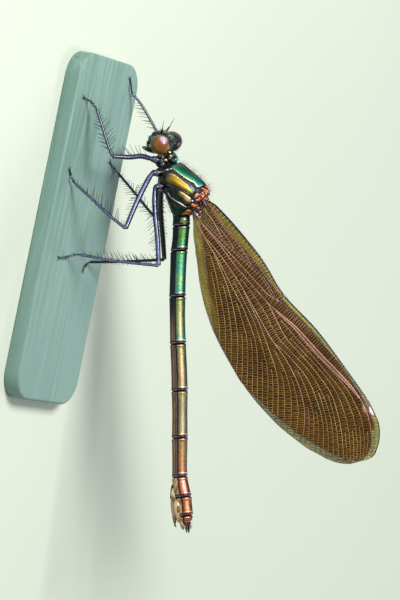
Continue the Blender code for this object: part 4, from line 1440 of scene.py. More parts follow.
def thorax_plate(shape, chart, outline, height, mat=0, dome=0.0, width=0.13, sink=0.07, least=None):
    """A raised plate on both sides of the thorax, from its outline in the drawing."""
    t, turn = chart.find(round_path(outline, 0.45))
    if least is not None:
        turn = np.maximum(turn, math.radians(least))
    border = np.stack([t * PLANE[0], turn * PLANE[1]], 1)
    border = resampled(np.concatenate([border, border[:1]]), 0.055)[:-1]
    flat, faces = filled(border, 0.075)
    edge = to_border(flat, border)
    rise = np.sqrt(np.clip(1 - (1 - np.minimum(edge / width, 1)) ** 2, 0, 1))
    swell = -sink + (sink + height) * rise + dome * fade(edge, 0.0, 0.6)
    t, turn = flat[:, 0] / PLANE[0], flat[:, 1] / PLANE[1]
    u, v = seen(trunk_at(TRUNK, t, turn))
    near_side = trunk_at(TRUNK, t, turn, swell)
    # share goes from the belly's edge of the plate to the back's
    bu, bv = seen(trunk_at(TRUNK, border[:, 0] / PLANE[0], border[:, 1] / PLANE[1]))
    along_border, along = bu * 0.8 + bv * 0.6, u * 0.8 + v * 0.6
    first, last = np.argmin(along_border), np.argmax(along_border)
    order = np.arange(len(border))
    chain = (order - first) % len(border) <= (last - first) % len(border)
    one, two = border[chain], border[~chain]
    if one[:, 1].mean() < two[:, 1].mean():
        one, two = two, one
    d1 = np.linalg.norm(flat[:, None] - one[None], axis=-1).min(axis=1)
    d2 = np.linalg.norm(flat[:, None] - two[None], axis=-1).min(axis=1)
    share = d1 / np.maximum(d1 + d2, 1e-6)
    span = (along - along_border.min()) / np.ptp(along_border)
    fields = dict(share=share, along=np.clip(span, 0, 1), edge=edge)
    a, b, c = (near_side[faces[:, k]] for k in range(3))
    out = near_side[faces].mean(axis=1) - trunk_at(TRUNK, t, turn, -0.6)[faces].mean(axis=1)
    if (np.cross(b - a, c - a) * out).sum() < 0:
        faces = faces[:, ::-1]
    shape.add(near_side, faces, mat, **fields)
    shape.add(trunk_at(TRUNK, t, -turn, swell), faces[:, ::-1], mat, **fields)


def plate_paint(name, start, middle, end, low=0.22, high=0.78, metallic=0.85, rough=0.34, pits=0.02):
    """A metal plate: three ramps from its lower to its upper edge, blended along it."""
    shine = 0.12 if name == "metepimeron" else 0.35
    paint = Paint(name, metallic=metallic, roughness=rough, coat_weight=shine, coat_roughness=0.25)
    wave = paint.math("MULTIPLY_ADD", paint.noise(0.5, 2.0), 0.10, paint.attr("share"))
    share = paint.math("SUBTRACT", wave, 0.05)
    run = paint.math("MULTIPLY_ADD", paint.noise(0.6, 2.0), 0.14, paint.attr("along"))
    run = paint.math("SUBTRACT", run, 0.07)
    parts = [paint.ramp(share, *stops) if len(stops) > 1 else stops[0][1] for stops in (start, middle, end)]
    colour = paint.mix(paint.fit(run, low - 0.12, low + 0.12), parts[0], parts[1])
    colour = paint.mix(paint.fit(run, high - 0.12, high + 0.10), colour, parts[2])
    dot = paint.node("ShaderNodeSeparateColor", 0, {0: paint.cells(0.075, out="Color")})
    dark = paint.mix(1.0, colour, (0.5, 0.5, 0.52), "MULTIPLY")
    light_tone = paint.mix(1.0, colour, (1.35, 1.3, 1.25), "MULTIPLY")
    colour = paint.mix(paint.fit(dot, 0.45, 0.95, 0.0, 0.65), colour, dark)
    colour = paint.mix(paint.fit(paint.noise(0.13, 3.0, 0.65), 0.52, 0.7, 0.0, 0.7), colour, light_tone)
    colour = paint.mix(paint.fit(paint.attr("edge"), 0.045, 0.0), colour, srgb(16, 12, 24))
    paint.put(base_color=colour)
    normal = paint.bump(paint.cells(0.06), 0.006)
    normal = paint.bump(paint.noise(0.04, 2.0, 0.6), 0.006, normal)
    paint.put(normal=paint.bump(paint.noise(0.26, 2.0), pits, normal))
    return paint.material


PLATES = {
    "mesepisternum": (
        (171.6, 166.0), (173.5, 164.6), (176.5, 164.0), (179.8, 165.2), (189.7, 170.7), (197.9, 176.8),
        (201.9, 181.3), (203.6, 184.6), (201.3, 186.2), (198.3, 187.4), (195.8, 185.8), (193.8, 182.9),
        (190.5, 181.3), (187.7, 179.6), (183.6, 177.2), (179.5, 174.3), (174.2, 170.2), (172.1, 167.8),
    ),
    "mesepimeron": (
        (164.2, 176.0), (165.6, 173.2), (168.8, 172.6), (172.6, 173.3), (176.2, 175.1), (180.3, 178.4),
        (184.4, 181.7), (187.7, 184.1), (190.5, 187.4), (193.4, 189.8), (193.8, 191.9), (191.9, 194.4),
        (189.3, 193.6), (185.2, 191.2), (179.5, 188.7), (175.4, 186.8), (171.3, 184.4), (167.5, 183.2),
        (164.8, 181.0),
    ),
    "metepisternum": (
        (171.0, 189.6), (174.2, 188.2), (179.5, 190.6), (183.6, 192.7), (188.5, 196.0), (191.0, 198.0),
        (191.0, 199.8), (190.2, 202.4), (186.4, 205.2), (184.0, 203.6), (180.3, 201.2), (176.0, 198.2),
        (172.6, 195.2), (171.0, 192.5),
    ),
    "metepimeron": (
        (165.6, 196.0), (168.3, 195.4), (170.6, 198.6), (173.6, 201.2), (177.4, 203.7), (181.5, 206.1),
        (184.8, 208.2), (187.6, 208.4), (186.4, 210.6), (183.2, 213.4), (179.3, 215.4), (175.0, 215.4),
        (172.2, 213.5), (170.2, 208.6), (168.8, 204.0), (166.8, 199.6),
    ),
}
CREAM, GOLD = srgb(244, 226, 160), srgb(190, 140, 46)
PLATE_COLOURS = {
    # mesepisternum: the cream and pale green at its lower edge are a painted highlight
    "mesepisternum": (
        ((0.0, srgb(226, 208, 130)), (0.2, srgb(140, 220, 140)), (0.55, srgb(60, 160, 108)), (1.0, srgb(12, 80, 66))),
        ((0.0, srgb(252, 240, 176)), (0.09, srgb(190, 232, 170)), (0.22, srgb(60, 206, 150)),
         (0.45, srgb(4, 132, 106)), (0.75, srgb(0, 80, 74)), (1.0, srgb(4, 40, 42))),
        ((0.0, srgb(250, 244, 190)), (0.2, srgb(60, 216, 180)), (0.45, srgb(0, 130, 150)),
         (0.75, srgb(0, 58, 96)), (1.0, srgb(8, 20, 44))),
    ),
    # mesepimeron: the cream and white at its upper edge and the pale cyan at its hind end are painted highlights
    "mesepimeron": (
        ((0.0, srgb(4, 22, 30)), (0.5, srgb(4, 44, 56)), (1.0, srgb(20, 56, 50))),
        ((0.0, srgb(44, 42, 16)), (0.18, srgb(110, 90, 18)), (0.55, srgb(146, 114, 24)),
         (0.80, srgb(190, 156, 50)), (0.93, srgb(250, 230, 140)), (1.0, srgb(255, 246, 190))),
        ((0.0, srgb(110, 100, 40)), (0.4, srgb(140, 130, 36)), (0.66, srgb(110, 150, 50)),
         (0.84, srgb(80, 180, 170)), (1.0, srgb(214, 240, 244))),
    ),
    "metepisternum": (
        ((0.0, srgb(2, 34, 26)), (1.0, srgb(6, 52, 36))),
        ((0.0, srgb(2, 44, 32)), (0.4, srgb(14, 62, 36)), (0.62, srgb(160, 120, 60)),
         (0.86, srgb(206, 170, 98)), (1.0, srgb(110, 84, 54))),
        ((0.0, srgb(2, 50, 38)), (0.34, srgb(110, 84, 44)), (0.56, srgb(250, 226, 170)), (1.0, srgb(255, 236, 184))),
    ),
    "metepimeron": (
        ((0.0, srgb(4, 26, 26)), (0.6, srgb(4, 36, 30)), (1.0, srgb(10, 24, 26))),
        ((0.0, srgb(2, 30, 26)), (0.35, srgb(2, 54, 38)), (0.62, srgb(16, 60, 36)), (0.8, srgb(44, 66, 38)),
         (1.0, srgb(10, 40, 32))),
        ((0.0, srgb(2, 34, 28)), (0.5, srgb(0, 62, 42)), (1.0, srgb(8, 38, 32))),
    ),
}
SUTURE = ((173.0, 171.4), (177.0, 174.0), (181.2, 176.9), (185.6, 179.6), (189.0, 182.0), (191.6, 184.0),
          (194.4, 187.2), (196.6, 189.8))
PLEURAL_RIDGE = ((164.8, 193.9), (166.8, 193.1), (168.9, 193.9), (170.5, 196.8), (173.4, 199.2),
                 (177.4, 201.7), (181.5, 204.1), (185.2, 206.6), (188.4, 207.4))
COLLAR = ((161.8, 172.5), (164.0, 170.8), (167.0, 169.8), (170.0, 169.2), (172.6, 168.6))
SECOND_SUTURE = ((166.4, 184.6), (170.6, 186.4), (175.2, 188.0), (180.4, 190.0), (185.6, 192.7), (189.6, 195.4))


def both_sides(chart, path, swell, steps=6):
    """A path on the trunk from drawing points: on the left side, then on the right."""
    t, turn = chart.find(through(path, steps))
    return trunk_at(TRUNK, t, turn, swell), trunk_at(TRUNK, t, -turn, swell)


def make_thorax():
    chart = Chart(TRUNK)
    rng = np.random.default_rng(31)
    core = Shape()
    t = np.concatenate([np.linspace(-0.0, 8, 90)])
    turn = np.arange(96) * 2 * math.pi / 96
    core.grid(trunk_at(TRUNK, t[:, None], turn[None], -0.05), True, 0, (True, True))
    neck_t = np.linspace(3.2, 4.0, 6)
    # hips, shoulder knobs and the folds under the wings
    core.ball(side(169.0, 163.6, 0.0), (0.72, 0.36, 0.95), np.array((RIGHT, UP, LEFT)), 28, 18)
    for hand in (1.0, -1.0):
        for (u, v, l), sizes in (
            ((161.0, 163.6, 0.75), (0.62, 0.50, 0.55)),
            ((160.6, 172.5, 1.0), (0.72, 0.56, 0.62)),
            ((163.4, 186.0, 1.15), (0.80, 0.66, 0.66)),
            ((164.6, 179.6, 1.45), (0.55, 0.75, 0.70)),
            ((168.0, 191.0, 1.75), (0.55, 0.55, 0.45)),
            ((201.4, 197.0, 0.95), (0.58, 0.56, 0.50)),
            ((205.0, 199.6, 0.5), (0.50, 0.42, 0.42)),
            ((196.8, 208.4, 1.0), (0.54, 0.46, 0.42)),
            ((199.6, 212.4, 0.75), (0.42, 0.40, 0.36)),
        ):
            core.ball(side(u, v, l * hand), sizes, np.array((RIGHT, UP, LEFT)), 24, 16)
        near_hand = 0 if hand > 0 else 1
        for path, radius, swell in (
            (SUTURE, 0.085, -0.02),
            (SECOND_SUTURE, 0.06, -0.02),
        ):
            core.tube(both_sides(chart, path, swell)[near_hand], radius, 8, 0)
    points, faces = fused(core, 0.055, 2)
    tone = Tones(len(points), srgb(16, 14, 26))
    left = np.abs(left_of(points))
    u, v = seen(points)
    tone.over(fade(rng.random(len(points)), 0, 1) * 0.25, srgb(30, 26, 50))
    for which in (0, 1):
        tone.over(near_path(points, both_sides(chart, SUTURE, 0.0)[which], 0.14) * 0.7, srgb(44, 34, 64))
        tone.over(near_path(points, both_sides(chart, SECOND_SUTURE, 0.0)[which], 0.12), srgb(46, 34, 40))
    # painted highlights: lavender spots on the three hips; then the orange and brown tones round the wing roots
    for hand in (1.0, -1.0):
        for (uu, vv, ll), radius, colour in (
            ((158.6, 171.8, 1.5), 0.30, srgb(150, 130, 150)),
            ((160.6, 186.2, 1.9), 0.26, srgb(130, 112, 140)),
            ((162.0, 163.0, 1.2), 0.26, srgb(120, 108, 124)),
            ((205.0, 199.6, 0.5), 0.34, srgb(150, 84, 46)),
            ((201.4, 197.0, 0.95), 0.36, srgb(150, 80, 42)),
            ((196.8, 208.4, 1.0), 0.32, srgb(70, 42, 30)),
            ((199.6, 212.4, 0.75), 0.26, srgb(58, 44, 66)),
        ):
            tone.over(near(points, side(uu, vv, ll * hand), radius) * 0.8, colour)
    # folds between the wings: orange, with dark creases
    band = np.abs(np.sin((u * 0.62 + v * 0.78) * 0.95 + 0.5 * np.sin(u * 0.9)))
    fold_at = fade(u * 0.86 + v * 0.5, 268.0, 272.5) * (v < 206) * fade(v, 184, 189)
    tone.over(fold_at * fade(band, 0.35, 0.7) * 0.85, srgb(168, 92, 48))
    rear_at = near(points, side(198.2, 211.6, 1.0), 0.75) + near(points, side(198.2, 211.6, -1.0), 0.75)
    tone.over(rear_at * fade(band, 0.3, 0.8) * 0.7, srgb(120, 72, 40))
    shape = Shape(*TONES)
    shape.add(points, faces, 0, **tone.fields())
    # beads along the shoulder suture, and small scattered warts on its dark skin
    for which, hand in ((0, 1.0), (1, -1.0)):
        path = resampled(both_sides(chart, SUTURE, 0.05)[which], 0.10)
        for i, point in enumerate(path):
            size = 0.055 + 0.02 * rng.random()
            jitter = rng.normal(size=3) * 0.018
            tones = Tones(1, srgb(84, 70, 116)).over(0.8 * rng.random(), srgb(24, 18, 40)).rgb[0]
            shape.ball(point + jitter, (size, size * 0.8, size * 0.8), np.array((RIGHT, UP, LEFT)), 8, 6, 0,
                       red=tones[0], green=tones[1], blue=tones[2])
    shape.build("thorax_core", shell_paint("thorax_core", 0.35, 0.34, 0.45, 0.09, 0.008, 0.02),
                ("thorax",))

    plates = Shape("share", "along", "edge")
    for k, (name, outline) in enumerate(PLATES.items()):
        height, dome = {"mesepisternum": (0.05, 0.03), "mesepimeron": (0.05, 0.07),
                        "metepisternum": (0.05, 0.05), "metepimeron": (0.04, 0.05)}[name]
        thorax_plate(plates, chart, outline, height, k, dome, least=3.0 if k == 0 else None)
    spread = {"mesepisternum": (0.18, 0.80), "mesepimeron": (0.15, 0.80),
              "metepisternum": (0.42, 0.72), "metepimeron": (0.22, 0.78)}
    rough = {"mesepisternum": 0.40, "mesepimeron": 0.50, "metepisternum": 0.42, "metepimeron": 0.38}
    plates.build(
        "thorax_plates",
        [plate_paint(name, *PLATE_COLOURS[name], *spread[name], rough=rough[name]) for name in PLATES],
    )

    # the wing hinges: orange folds among dark sclerites
    hinge = Shape("share", "along", "edge")
    for outline, height, dome, mat in (
        (((193.4, 197.4), (194.4, 194.5), (197.2, 192.5), (199.4, 193.4), (199.0, 196.0), (196.6, 198.4),
          (194.4, 199.0)), 0.10, 0.10, 0),
        (((195.2, 201.4), (195.0, 199.6), (197.4, 198.6), (199.6, 196.4), (201.2, 196.6), (201.0, 199.2),
          (198.8, 201.8)), 0.08, 0.07, 0),
        (((202.0, 194.6), (203.4, 193.4), (205.6, 195.4), (206.6, 198.6), (205.2, 199.4), (203.2, 197.6)),
         0.10, 0.06, 0),
        (((190.9, 206.0), (191.4, 203.8), (193.2, 203.0), (195.8, 204.9), (199.1, 209.2), (197.5, 209.8),
          (194.0, 207.9)), 0.12, 0.10, 1),
        (((179.8, 215.0), (183.6, 212.2), (186.8, 209.8), (189.3, 209.4), (192.6, 211.2), (191.2, 213.6),
          (187.7, 214.8), (183.4, 215.2)), 0.07, 0.12, 2),
    ):
        thorax_plate(hinge, chart, outline, height, mat, dome, 0.16)
    hinge.build(
        "wing_hinges",
        [
            plate_paint("hinge_orange", ((0.0, srgb(110, 56, 30)),), ((0.0, srgb(110, 52, 26)),
                        (0.3, srgb(176, 96, 50)), (0.6, srgb(206, 134, 90)), (0.8, srgb(150, 80, 44)),
                        (1.0, srgb(90, 46, 28))), ((0.0, srgb(150, 84, 46)),), metallic=0.15, rough=0.42, pits=0.09),
            plate_paint("hinge_bright", ((0.0, srgb(236, 120, 56)),), ((0.0, srgb(214, 100, 40)),
                        (0.5, srgb(252, 156, 84)), (1.0, srgb(240, 150, 90))),
                        ((0.0, srgb(246, 172, 110)),), metallic=0.1, rough=0.35, pits=0.07),
            plate_paint("hinge_brown", ((0.0, srgb(96, 58, 26)),), ((0.0, srgb(190, 116, 46)),
                        (0.4, srgb(124, 72, 28)), (0.7, srgb(206, 130, 60)), (1.0, srgb(86, 48, 22))),
                        ((0.0, srgb(150, 86, 40)),), metallic=0.1, rough=0.4, pits=0.07),
        ],
    )

    ridges = Shape(*TONES)

    def ridge(path, radius, stops, sides=8, squash=1.0):
        """A ridge whose colour changes along it."""
        share = np.linspace(0, 1, len(path))
        keys = np.linspace(0, 1, len(stops))
        rgb = np.stack([np.interp(share, keys, [s[k] for s in stops]) for k in range(3)], 1)
        ridges.tube(path, radius, sides, 0, squash=squash, red=rgb[:, 0], green=rgb[:, 1], blue=rgb[:, 2])

    pink, pale = srgb(186, 160, 172), srgb(226, 206, 208)
    for which, hand in ((0, 1.0), (1, -1.0)):
        path = both_sides(chart, PLEURAL_RIDGE, 0.03)[which]
        taper = 0.075 * np.clip(np.minimum(np.arange(len(path)), np.arange(len(path))[::-1]) / 6, 0.45, 1)
        ridge(path, taper, (pale, pink, srgb(120, 100, 124), pink, pale, srgb(150, 130, 160)))
        path = resampled(both_sides(chart, COLLAR, 0.02)[which], 0.06)
        gleam = np.clip(np.sin(np.arange(len(path)) * 1.05) + 0.5 * np.sin(np.arange(len(path)) * 0.37 + 2), 0, 1)
        ridge(path, 0.05 + 0.05 * gleam, (srgb(110, 52, 40), srgb(206, 118, 78), srgb(24, 22, 34), srgb(70, 190, 190),
                                         srgb(228, 226, 214), srgb(28, 26, 44), srgb(214, 218, 236), srgb(110, 104, 180)))
        # orange stripes on the back, pale peach along their middle as a painted highlight
        for a, b, radius in (
            ((204.8, 186.2), (209.7, 190.7), 0.13),
            ((200.7, 188.2), (208.1, 193.5), 0.11),
            ((202.8, 190.7), (206.4, 194.7), 0.10),
            ((201.1, 191.9), (204.0, 197.2), 0.11),
        ):
            t, turn = chart.find([a, b])
            t = np.linspace(t[0], t[1], 9)
            turn = np.maximum(np.linspace(turn[0], turn[1], 9), 0.06)
            path = trunk_at(TRUNK, t, turn * hand, 0.05)
            shape_of = np.sin(np.linspace(0.25, math.pi - 0.2, 9)) ** 0.5
            ridge(path, radius * shape_of, (srgb(200, 104, 50), srgb(244, 156, 104), srgb(255, 196, 150), srgb(206, 120, 70)))
        # dark rounded sclerites and pale knobs round the wing roots
        for (u, v, l), radius, colour in (
            ((197.0, 190.2, 1.9), 0.15, srgb(116, 98, 140)),
            ((195.6, 191.8, 2.0), 0.12, srgb(60, 50, 80)),
            ((192.4, 200.9, 2.2), 0.13, srgb(196, 206, 222)),
            ((190.6, 203.4, 2.2), 0.15, srgb(28, 24, 42)),
            ((188.4, 207.2, 1.9), 0.14, srgb(32, 28, 48)),
            ((200.6, 203.0, 1.3), 0.17, srgb(40, 30, 52)),
            ((203.0, 201.0, 1.1), 0.14, srgb(96, 82, 128)),
            ((206.2, 201.8, 0.8), 0.13, srgb(40, 30, 48)),
            ((207.2, 203.8, 0.5), 0.14, srgb(100, 60, 52)),
            ((197.0, 214.6, 1.15), 0.16, srgb(196, 190, 226)),
            ((198.9, 213.0, 1.1), 0.13, srgb(60, 46, 80)),
            ((199.9, 217.2, 0.95), 0.12, srgb(214, 170, 150)),
            ((194.6, 216.4, 1.0), 0.13, srgb(36, 28, 46)),
            ((192.6, 213.6, 1.2), 0.14, srgb(92, 56, 34)),
            ((208.2, 194.0, 0.5), 0.20, srgb(60, 34, 26)),
            ((206.0, 190.0, 0.6), 0.14, srgb(14, 12, 20)),
            ((172.1, 189.4, 2.35), 0.07, srgb(224, 224, 230)),
            ((176.2, 189.0, 2.45), 0.085, srgb(226, 176, 150)),
        ):
            ridges.ball(side(u, v, l * hand), (radius, radius * 0.85, radius * 0.8), np.array((RIGHT, UP, LEFT)),
                        14, 10, 0, red=colour[0], green=colour[1], blue=colour[2])
        # struts from the thorax into the front and the hind wing
        for path, radius, stops in (
            (((202.0, 199.0, 1.2), (204.6, 202.6, 0.85), (206.6, 206.6, 0.45)), 0.10, (srgb(60, 40, 60), pink, srgb(120, 80, 80))),
            (((199.0, 203.4, 1.3), (201.6, 206.4, 0.9), (203.4, 210.0, 0.5)), 0.08, (srgb(44, 30, 44), srgb(120, 80, 70), srgb(150, 104, 92))),
            (((193.0, 210.6, 1.5), (196.4, 214.0, 1.2), (199.4, 219.0, 0.95)), 0.10, (srgb(44, 34, 50), pink, srgb(130, 96, 90))),
            (((190.6, 212.6, 1.4), (193.6, 215.8, 1.1), (196.6, 221.0, 0.9)), 0.08, (srgb(60, 40, 30), srgb(120, 80, 60), srgb(140, 100, 70))),
            (((195.4, 207.2, 1.6), (198.6, 210.4, 1.2), (201.4, 215.4, 0.95)), 0.08, (srgb(40, 30, 44), srgb(96, 70, 84), srgb(140, 104, 90))),
        ):
            rows = through(path, 5)
            ridge(side(rows[:, 0], rows[:, 1], rows[:, 2] * hand), radius, stops)
    # the keel down the middle of the back, its pale middle a painted highlight
    t = np.linspace(0.35, 5.0, 60)
    keel = trunk_at(TRUNK, t, 0.0 * t, 0.0)
    ridge(keel, 0.07 + 0.02 * np.sin(t * 3), (srgb(60, 60, 56), srgb(120, 128, 108), srgb(176, 178, 150), srgb(120, 130, 110), srgb(40, 44, 50)))
    for hand in (1, -1):
        ridge(trunk_at(TRUNK, t, hand * 0.055 + 0 * t, -0.01), 0.05, (srgb(8, 20, 24), srgb(8, 40, 40), srgb(10, 24, 34)))
    ridges.build("thorax_ridges", shell_paint("thorax_ridges", 0.3, 0.3, 0.35, 0.06, 0.006))

    # fine hair on the back and the underside
    coat = Shape()
    count = 210
    t = rng.uniform(0.1, 5.6, count)
    turn = rng.normal(0, 0.34, count)
    thinned = np.abs(turn) < 0.9
    t, turn = t[thinned], turn[thinned]
    roots = trunk_at(TRUNK, t, turn, -0.02)
    ways = unit(trunk_at(TRUNK, t - 0.25, turn, 0.9) - roots)
    uv = np.stack([0.05 + 0.9 * t / 8, 0.5 + turn / (2 * math.pi)], 1)
    hairs(coat, roots, ways, 0.42 + 0.48 * rng.random(len(t)), 0.009, rng, 0.22, 0, uv)
    count = 420
    t = rng.uniform(0.3, 7.2, count)
    turn = rng.choice([-1, 1], count) * rng.uniform(1.9, 3.1, count)
    roots = trunk_at(TRUNK, t, turn, -0.02)
    ways = unit(trunk_at(TRUNK, t + 0.2, turn, 0.9) - roots)
    uv = np.stack([0.05 + 0.9 * t / 8, 0.5 + turn / (2 * math.pi)], 1)
    hairs(coat, roots, ways, 0.22 + 0.2 * rng.random(count), 0.008, rng, 0.2, 0, uv)
    coat.build("thorax_hair", hair_paint("thorax_hair", srgb(70, 78, 62), srgb(110, 112, 88)), uv=True)


def make_neck():
    rng = np.random.default_rng(7)
    core = Shape()
    t = np.linspace(0, 4, 40)
    turn = np.arange(64) * 2 * math.pi / 64
    core.grid(trunk_at(NECK, t[:, None], turn[None], -0.03), True, 0, (True, True))
    axes = np.array((RIGHT, UP, LEFT))
    lumps = (  # where, sizes, tone; the gold, yellow, cyan, cream, pale green, pink and orange tones are painted glints, the dark ones the shell's own colour
        ((168.9, 152.0, 0.40), (0.26, 0.18, 0.30), srgb(236, 186, 80)),
        ((170.9, 152.6, 0.0), (0.34, 0.22, 0.62), srgb(10, 34, 60)),
        ((170.2, 156.4, 0.70), (0.32, 0.24, 0.36), srgb(222, 220, 80)),
        ((173.4, 154.4, 0.30), (0.30, 0.24, 0.42), srgb(16, 104, 120)),
        ((174.9, 157.0, 0.0), (0.30, 0.24, 0.62), srgb(20, 60, 80)),
        ((175.7, 159.9, 0.25), (0.34, 0.22, 0.60), srgb(60, 200, 204)),
        ((172.6, 160.6, 0.85), (0.30, 0.20, 0.36), srgb(50, 100, 90)),
        ((162.6, 157.0, 0.95), (0.22, 0.22, 0.26), srgb(206, 190, 150)),
        ((165.0, 153.8, 0.62), (0.20, 0.20, 0.22), srgb(110, 160, 110)),
        ((165.2, 160.2, 1.12), (0.30, 0.20, 0.22), srgb(226, 214, 170)),
        ((162.6, 160.6, 0.95), (0.26, 0.24, 0.3), srgb(70, 60, 80)),
        ((169.3, 163.8, 0.98), (0.18, 0.12, 0.2), srgb(170, 130, 150)),
        ((168.2, 158.8, 0.95), (0.20, 0.13, 0.2), srgb(206, 150, 90)),
        ((165.8, 156.6, 0.82), (0.34, 0.30, 0.34), srgb(10, 12, 24)),
        ((173.6, 162.6, 0.45), (0.40, 0.16, 0.55), srgb(12, 16, 30)),
    )
    for (u, v, l), sizes, _ in lumps:
        for hand in (1, -1) if l else (1,):
            core.ball(side(u, v, l * hand), sizes, axes, 20, 14)
    points, faces = fused(core, 0.035, 2)
    tone = Tones(len(points), srgb(12, 13, 22))
    u_at, v_at = seen(points)
    for (u, v, l), sizes, colour in lumps:
        for hand in (1, -1) if l else (1,):
            middle = side(u, v, l * hand)
            away = (points - middle) @ axes.T / (np.asarray(sizes) + 0.03)
            ragged = 0.16 * np.sin(u_at * 5.1 + 1.3 * np.sin(v_at * 4.3)) * np.sin(v_at * 6.2)
            tone.over((1 - fade(np.linalg.norm(away, axis=1) + ragged, 0.74, 1.06)), colour)
    shape = Shape(*TONES)
    shape.add(points, faces, 0, **tone.fields())
    shape.build("neck", shell_paint("neck", 0.72, 0.26, 0.4, 0.06, 0.006, 0.01), ("prothorax",))
    coat = Shape()
    count = 260
    t = rng.uniform(0.6, 3.9, count)
    turn = rng.uniform(-math.pi, math.pi, count)
    roots = trunk_at(NECK, t, turn, -0.1)
    ways = unit(trunk_at(NECK, t, turn, 0.9) - roots)
    uv = np.stack([0.1 + 0.2 * t, 0.5 + turn / (2 * math.pi)], 1)
    hairs(coat, roots, ways, 0.24 + 0.2 * rng.random(count), 0.007, rng, 0.2, 0, uv)
    coat.build("neck_hair", hair_paint("neck_hair", srgb(60, 66, 56), srgb(96, 98, 80)), uv=True)


# ---- head ---------------------------------------------------------------------------
EYE_AT = (2.05, -0.15, -0.10)
EYE_SIZE = (1.0, 1.15, 1.11)
ANTENNA_AT = (0.75, 0.62, 0.78)
ANTENNA_LEAN = (1.10, 0.04, 1.74)
HEAD_LUMPS = (  # left, front, top and sizes; the first rows are those of the solids
    ((0.0, -0.15, -0.10), (1.70, 0.78, 1.06)),
    ((0.0, 0.36, 0.60), (1.16, 0.70, 0.48)),
    ((0.0, 1.16, 0.18), (0.92, 0.64, 0.52)),
    ((0.0, 1.50, -0.36), (0.86, 0.50, 0.40)),
    ((0.0, 1.60, -0.92), (0.74, 0.36, 0.32)),
    ((1.05, 0.62, -0.78), (0.52, 0.52, 0.52)),
    ((-1.05, 0.62, -0.78), (0.52, 0.52, 0.52)),
    ((1.60, -0.40, -0.14), (1.02, 0.93, 1.05)),
    ((-1.60, -0.40, -0.14), (1.02, 0.93, 1.05)),
    ((0.0, 0.90, 0.40), (0.98, 0.62, 0.50)),
    ((0.62, 1.30, -0.62), (0.30, 0.30, 0.26)),
    ((-0.62, 1.30, -0.62), (0.30, 0.30, 0.26)),
    ((0.55, 0.78, 0.62), (0.36, 0.34, 0.30)),
    ((-0.55, 0.78, 0.62), (0.36, 0.34, 0.30)),
    ((0.0, -0.62, 0.55), (0.72, 0.38, 0.36)),
    ((0.55, -0.72, 0.10), (0.50, 0.32, 0.55)),
    ((-0.55, -0.72, 0.10), (0.50, 0.32, 0.55)),
)


